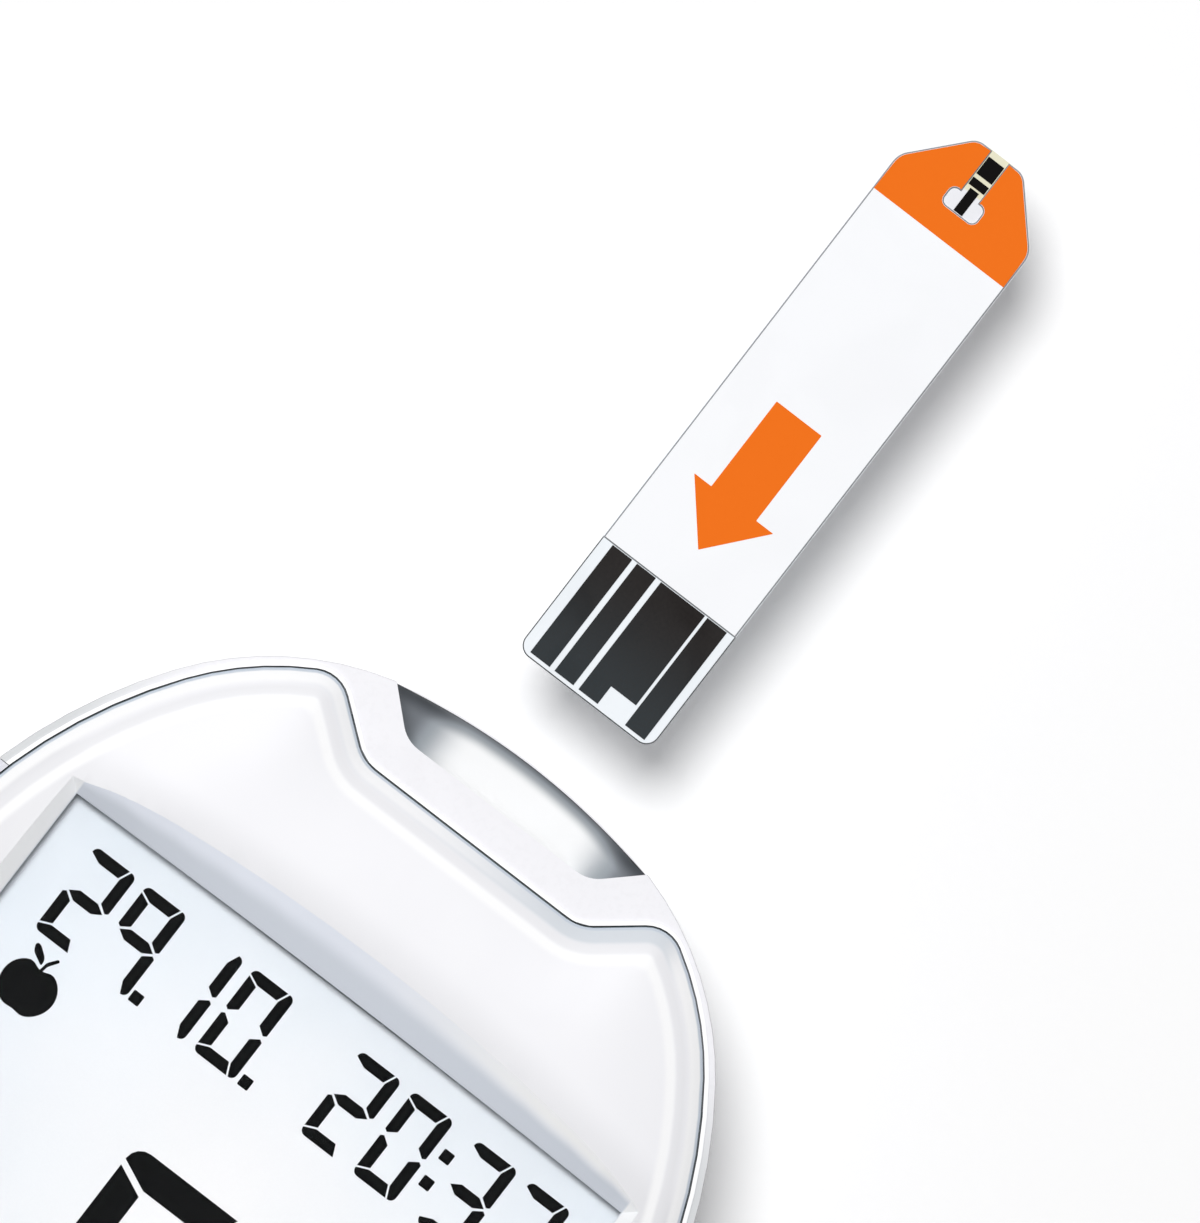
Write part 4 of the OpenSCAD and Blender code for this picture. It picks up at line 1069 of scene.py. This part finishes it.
class METER_OT_display(bpy.types.Operator):
    """Build the display's segments and finish its glass, window and light box"""

    bl_idname = "meter.display"
    bl_label = "Display"

    def execute(self, context):
        look = context.scene.meter_display
        ink = printed("segment_ink", look.ink_colour, (0.005, 0.0055, 0.006), 0.7, 0.05,
                      0.0000003)
        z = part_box("lcd_glass")[1].z / MM
        signs = {
            "date_digits": digit_row(look.date_text, DATE_X, SMALL_Y, z, **SMALL),
            "clock_digits": digit_row(look.clock_text, CLOCK_X, SMALL_Y, z, **SMALL),
            "reading_digits": digit_row(look.reading_text, READING_X, LARGE_Y, z, **LARGE),
            "meal_sign": meal_sign(*MEAL_PLACE, z),
        }
        for name, bm in signs.items():
            finished(bm, name, "meter", [ink])
        dress("lcd_glass", display_face(look))
        dress("display_lens", clear_acrylic())
        dress("lcd_reflector",
              moulded_plastic("reflector_sheet", (0.86, 0.88, 0.91), 0.3, 900.0, 0.00001))
        dress("lcd_frame",
              moulded_plastic("frame_ivory", (0.71, 0.67, 0.56), 0.48, 1600.0, 0.00001))
        dress("zebra_connectors", striped_rubber())
        return {"FINISHED"}


# A key's dish in millimetres: each step in from the edge, and its drop
DISH = ((0.35, 0.03), (0.45, 0.07), (0.6, 0.05), (0.5, 0.02))


def top_faces(bm):
    """The faces that lie at the top."""
    top = max(v.co.z for v in bm.verts)
    return [f for f in bm.faces if f.calc_center_median().z > top - 2 * NEAR]


def key_cap(node):
    """A key with its top dished in soft steps."""
    bm = merged_copy(node)
    tops = top_faces(bm)
    if len(tops) > 1:
        bmesh.ops.dissolve_faces(bm, faces=tops)
        tops = top_faces(bm)
    for width, drop in DISH:
        bmesh.ops.inset_region(bm, faces=tops, thickness=width * MM)
        move(bm, points_of(tops), 0, 0, -drop)
    return bm


def arrow_sign(x, y, z, way):
    """A triangle that points up the display, or down it where way is -1."""
    return flat_shape([(x - 1.2, y - 0.9 * way), (x + 1.2, y - 0.9 * way), (x, y + 1.1 * way)],
                      z, SIGN_HEIGHT, 0.2)


def power_sign(x, y, z):
    """A broken ring with a bar in its gap."""
    inner, outer = 0.9 * MM, 1.25 * MM
    sweep, start_at = math.radians(290), math.radians(125)
    ring = bmesh.new()
    start = ring.verts.new((inner, 0, 0)), ring.verts.new((outer, 0, 0))
    edge = ring.edges.new(start)
    bmesh.ops.spin(ring, geom=[edge, *start], cent=(0, 0, 0), axis=(0, 0, 1), dvec=(0, 0, 0),
                   angle=sweep, steps=28, use_duplicate=False)
    bmesh.ops.rotate(ring, cent=(0, 0, 0), matrix=Matrix.Rotation(start_at, 3, "Z"),
                     verts=ring.verts[:])
    thicken(ring, SIGN_HEIGHT)
    bar = flat_shape([(-0.18, 0.35), (0.18, 0.35), (0.18, 1.55), (-0.18, 1.55)],
                     0, SIGN_HEIGHT, 0.08)
    whole = joined([ring, bar])
    move(whole, whole.verts, x, y, z)
    return whole


class METER_OT_keys(bpy.types.Operator):
    """Finish the three keys, with dished tops and plain signs"""

    bl_idname = "meter.keys"
    bl_label = "Keys"

    def execute(self, context):
        look = context.scene.meter_shell
        cap = moulded_plastic("key_plastic", look.key_colour, 0.28, 2400.0, 0.000002,
                              Coat_Weight=0.2, Coat_Roughness=0.15)
        sign = printed("key_sign", (0.16, 0.20, 0.30), (0.20, 0.24, 0.34))
        for key, body in (("power_key", "power_button"), ("up_key", "up_button"),
                          ("down_key", "down_button")):
            low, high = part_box(key)
            middle = (low + high) / 2 / MM
            place = (middle.x, middle.y, high.z / MM - sum(drop for _, drop in DISH))
            shape = (power_sign(*place) if key == "power_key"
                     else arrow_sign(*place, 1 if key == "up_key" else -1))
            even_shading(finished(key_cap(key), f"{key}_cap", body, [cap],
                                  replaces=[key]))
            finished(shape, f"{key}_sign", body, [sign])
        return {"FINISHED"}


# The strip's arrow in millimetres, its point first
ARROW = ((0, 58.8), (3.46, 62.85), (1.97, 62.85), (1.97, 70.3), (-1.97, 70.3), (-1.97, 62.85),
         (-3.46, 62.85))
TIP_LENGTH = 7.2            # of the coloured end of the film
TIP_MARGIN = 0.115          # of bare film round its print


def edged_copy(node, width, end_y=None):
    """A sheet with the edges of its upper face cut at a slope, as far as end_y if it is given."""
    bm = merged_copy(node)
    if end_y is not None:
        bmesh.ops.bisect_plane(bm, geom=everything(bm), plane_co=(0, end_y, 0),
                               plane_no=(0, 1, 0))
    top = max(v.co.z for v in bm.verts)
    edges = [e for e in bm.edges if all(v.co.z > top - NEAR for v in e.verts) and is_sharp(e, 45)
             and (end_y is None or (e.verts[0].co.y + e.verts[1].co.y) / 2 < end_y)]
    bevel_edges(bm, edges, width * MM, 1, segments=1)
    return bm


def tip_print(z, thick, far):
    """The coloured end of the film, with its sampling channel and reaction window left open."""
    bm = merged_copy("strip_film")
    bmesh.ops.bisect_plane(bm, geom=everything(bm), plane_co=(0, (far - TIP_LENGTH) * MM, 0),
                           plane_no=(0, -1, 0), clear_outer=True)
    others = [f for f in bm.faces
              if f.normal.z <= 0.9 or f.calc_center_median().z <= z * MM - NEAR]
    bmesh.ops.delete(bm, geom=others, context="FACES")
    margin = bmesh.ops.inset_region(bm, faces=bm.faces[:], thickness=TIP_MARGIN * MM,
                                    use_boundary=True)["faces"]
    bmesh.ops.delete(bm, geom=margin, context="FACES")
    thicken(bm, thick)
    return bm


class METER_OT_strip(bpy.types.Operator):
    """Print the test strip's arrow and tip and finish its sheet, film and tracks"""

    bl_idname = "meter.strip"
    bl_label = "Test Strip"

    def execute(self, context):
        look = context.scene.meter_strip
        thick = look.print_height / MM
        low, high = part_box("strip_film")
        top = high.z / MM
        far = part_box("strip_base")[1].y / MM
        orange = printed("orange_print", look.print_colour, (0.86, 0.15, 0.009), 0.6, 0.2)
        film = moulded_plastic("cover_film", look.film_colour, 0.55, 3000.0, 0.000002, 0.98)
        # painted shade on the sloped edges of the film and the sheet
        film_edge_shade = moulded_plastic("film_edge_shade", (0.27, 0.28, 0.295), 0.5, 3000.0, 0.000002)
        sheet_edge_shade = moulded_plastic("sheet_edge_shade", (0.05, 0.055, 0.06), 0.5, 3000.0, 0.000002)
        finished(edged_copy("strip_film", 0.095), "cover_film", "test_strip",
                 [film, film_edge_shade], replaces=["strip_film"])
        finished(edged_copy("strip_base", 0.08, low.y), "polyester_sheet", "test_strip",
                 [strip_sheet(look, far), sheet_edge_shade], replaces=["strip_base"])
        finished(flat_shape(ARROW, top, thick, 0.06), "strip_arrow", "test_strip",
                 [orange])
        finished(tip_print(top, thick, far), "strip_tip_print", "test_strip",
                 [orange])
        dress("strip_tracks", carbon_ink(look))
        dress("strip_electrode", printed("electrode_ink", darker(look.track_colour, 0.35),
                                         (0.004, 0.004, 0.004), 0.6, 0.2))
        return {"FINISHED"}


class METER_OT_works(bpy.types.Operator):
    """Finish the board and its parts, the connector, the springs, the screws and the key stubs"""

    bl_idname = "meter.works"
    bl_label = "Works"

    def execute(self, context):
        black = chip_epoxy("plain_epoxy")
        steel = drawn_metal("brushed_steel", (0.60, 0.60, 0.61), (0.42, 0.40, 0.37), 0.26)
        gilt = drawn_metal("gilt_spring", (0.80, 0.56, 0.22), (0.52, 0.33, 0.12), 0.22,
                           math.pi / 2)
        dress("main_board", circuit_board())
        dress("controller_chip", chip_epoxy("controller_epoxy", "controller_chip", (6.02, 6.02)))
        dress("memory_chip", chip_epoxy("memory_epoxy", "memory_chip", (2.52, 9.0)))
        dress("board_parts", ceramic())
        dress("strip_connector",
              moulded_plastic("connector_nylon", (0.70, 0.66, 0.55), 0.42, 1900.0, 0.00001))
        for material, nodes in (
                (steel, ("quartz_crystal", "housing_screws", "board_screws")),
                (gilt, ("contact_springs", "cell_contacts")),
                (black, ("buzzer", "key_switches", "power_plunger", "up_plunger",
                         "down_plunger"))):
            for node in nodes:
                dress(node, material)
        return {"FINISHED"}


class METER_OT_battery_bay(bpy.types.Operator):
    """Finish the battery door and the two coin cells"""

    bl_idname = "meter.battery_bay"
    bl_label = "Battery Bay"

    def execute(self, context):
        look = context.scene.meter_shell
        refinish("battery_door", "door_panel", "door",
                 moulded_plastic("door_textured", look.rear_colour, 0.5, 1500.0, 0.000014))
        for side in ("left", "right"):
            low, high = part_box(f"coin_cell_{side}")
            cell = drawn_metal(f"cell_can_{side}", (0.66, 0.66, 0.66), (0.46, 0.45, 0.43), 0.2,
                               rings=(low + high) / 2 / MM)
            refinish(f"coin_cell_{side}", f"cell_{side}", "meter", cell)
        return {"FINISHED"}


# Stage


def floor_paper(look):
    """Pale paper that lifts to white for the camera and keeps its shadows."""
    material, tree, shader, place = new_material(
        "floor_paper", Roughness=0.9, Specular_IOR_Level=0.1)
    _, drift, _ = group(tree, "moulded", place, Drift_Scale=6.0)
    colour = look.floor_colour
    tree.links.new(blend_colours(tree, drift, colour, darker(colour, 0.997)),
                   shader.inputs["Base Color"])
    path = put(tree, "ShaderNodeLightPath")
    seen = calc(tree, "ADD", path.outputs["Is Camera Ray"], path.outputs["Is Transmission Ray"],
                clamp=True)
    lift = put(tree, "ShaderNodeEmission",
               {"Color": (1, 1, 1, 1), "Strength": product(tree, seen, 0.08)})
    both = put(tree, "ShaderNodeAddShader", {0: shader.outputs[0], 1: lift.outputs[0]})
    tree.links.new(both.outputs[0], tree.nodes["Material Output"].inputs["Surface"])
    return material


def lay_floor(look):
    """A plain sheet just under the rest pad."""
    bm = bmesh.new()
    bmesh.ops.create_grid(bm, x_segments=1, y_segments=1, size=3.0)
    move(bm, bm.verts, 0, 0, -0.02)
    mesh = bpy.data.meshes.new("floor")
    bm.to_mesh(mesh)
    bm.free()
    mesh.materials.append(floor_paper(look))
    floor = bpy.data.objects.new("floor", mesh)
    bpy.context.scene.collection.objects.link(floor)


def set_world(look):
    """Even light from all round, white to the camera and in reflections."""
    world = bpy.data.worlds.new("studio")
    bpy.context.scene.world = world
    world.use_nodes = True
    tree = world.node_tree
    path = put(tree, "ShaderNodeLightPath")
    mirrored = calc(tree, "ADD", path.outputs["Is Glossy Ray"],
                    path.outputs["Is Transmission Ray"])
    seen = calc(tree, "ADD", path.outputs["Is Camera Ray"], mirrored, clamp=True)
    strength = calc(tree, "ADD", look.sky_light, product(tree, seen, 1.0 - look.sky_light))
    background = tree.nodes["Background"]
    background.inputs["Color"].default_value = (1, 1, 1, 1)
    tree.links.new(strength, background.inputs["Strength"])


def set_lamp(look):
    """One soft round lamp, high on the meter's left."""
    data = bpy.data.lights.new("key_lamp", "AREA")
    data.shape = "DISK"
    data.size = 0.44
    data.energy = look.key_light
    aim, distance = Vector((0, 0.045, 0.01)), 1.2
    towards = Vector((-0.207, 0.163, 0.965)).normalized()
    lamp = bpy.data.objects.new("key_lamp", data)
    lamp.location = aim + towards * distance
    lamp.rotation_mode = "QUATERNION"
    lamp.rotation_quaternion = (-towards).to_track_quat("-Z", "Y")
    bpy.context.scene.collection.objects.link(lamp)


def set_camera(look):
    """Above the meter, looking almost straight down, with the meter lying turned in the frame."""
    data = bpy.data.cameras.new("view")
    data.lens = look.lens
    data.sensor_width = 36
    data.clip_start, data.clip_end = 0.01, 20
    camera = bpy.data.objects.new("view", data)
    bpy.context.scene.collection.objects.link(camera)
    bpy.context.scene.camera = camera
    px_per_mm, px_high = 14.46, 1223
    plane_z = 0.018                 # the height at which that scale holds
    target = Vector((-0.00277, 0.0511, plane_z))
    reach = px_high / px_per_mm * MM * look.lens / data.sensor_width
    place = Vector((0, 0.015, plane_z + reach))
    back = (place - target).normalized()
    right = Vector((math.cos(look.turn), math.sin(look.turn), 0))
    right = (right - back * right.dot(back)).normalized()
    turned = Matrix((right, back.cross(right), back)).transposed()
    camera.matrix_world = Matrix.Translation(place) @ turned.to_4x4()


class METER_OT_stage(bpy.types.Operator):
    """Lay the floor and set the light and the camera"""

    bl_idname = "meter.stage"
    bl_label = "Stage"

    def execute(self, context):
        look = context.scene.meter_stage
        lay_floor(look)
        set_world(look)
        set_lamp(look)
        set_camera(look)
        return {"FINISHED"}


# Add-on


class METER_PT_sidebar(bpy.types.Panel):
    """The settings, and a button for each operator"""

    bl_idname = "METER_PT_sidebar"
    bl_label = "Blood Glucose Meter"
    bl_space_type = "VIEW_3D"
    bl_region_type = "UI"
    bl_category = "Meter"

    def draw(self, context):
        layout = self.layout
        for heading, key in (("Shell", "meter_shell"), ("Display", "meter_display"),
                             ("Strip", "meter_strip"), ("Stage", "meter_stage")):
            box = layout.box()
            box.label(text=heading)
            settings = getattr(context.scene, key)
            for name in settings.__annotations__:
                box.prop(settings, name)
        for operator in PIECE_OPERATORS:
            layout.operator(operator.bl_idname)


PIECE_OPERATORS = (METER_OT_housing, METER_OT_cover, METER_OT_port, METER_OT_display,
                   METER_OT_keys, METER_OT_strip, METER_OT_works, METER_OT_battery_bay,
                   METER_OT_stage)
SETTINGS = {"meter_shell": MeterShellSettings, "meter_display": MeterDisplaySettings,
            "meter_strip": MeterStripSettings, "meter_stage": MeterStageSettings}
CLASSES = (*SETTINGS.values(), *PIECE_OPERATORS, METER_PT_sidebar)


def register():
    for kind in CLASSES:
        bpy.utils.register_class(kind)
    for key, kind in SETTINGS.items():
        setattr(bpy.types.Scene, key, PointerProperty(type=kind))


def unregister():
    for key in SETTINGS:
        delattr(bpy.types.Scene, key)
    for kind in reversed(CLASSES):
        bpy.utils.unregister_class(kind)


def main():
    register()
    bpy.context.scene.view_settings.view_transform = "Standard"
    bpy.ops.meter.housing()
    bpy.ops.meter.cover()
    bpy.ops.meter.port()
    bpy.ops.meter.display()
    bpy.ops.meter.keys()
    bpy.ops.meter.strip()
    bpy.ops.meter.works()
    bpy.ops.meter.battery_bay()
    bpy.ops.meter.stage()


if __name__ == "__main__":
    main()
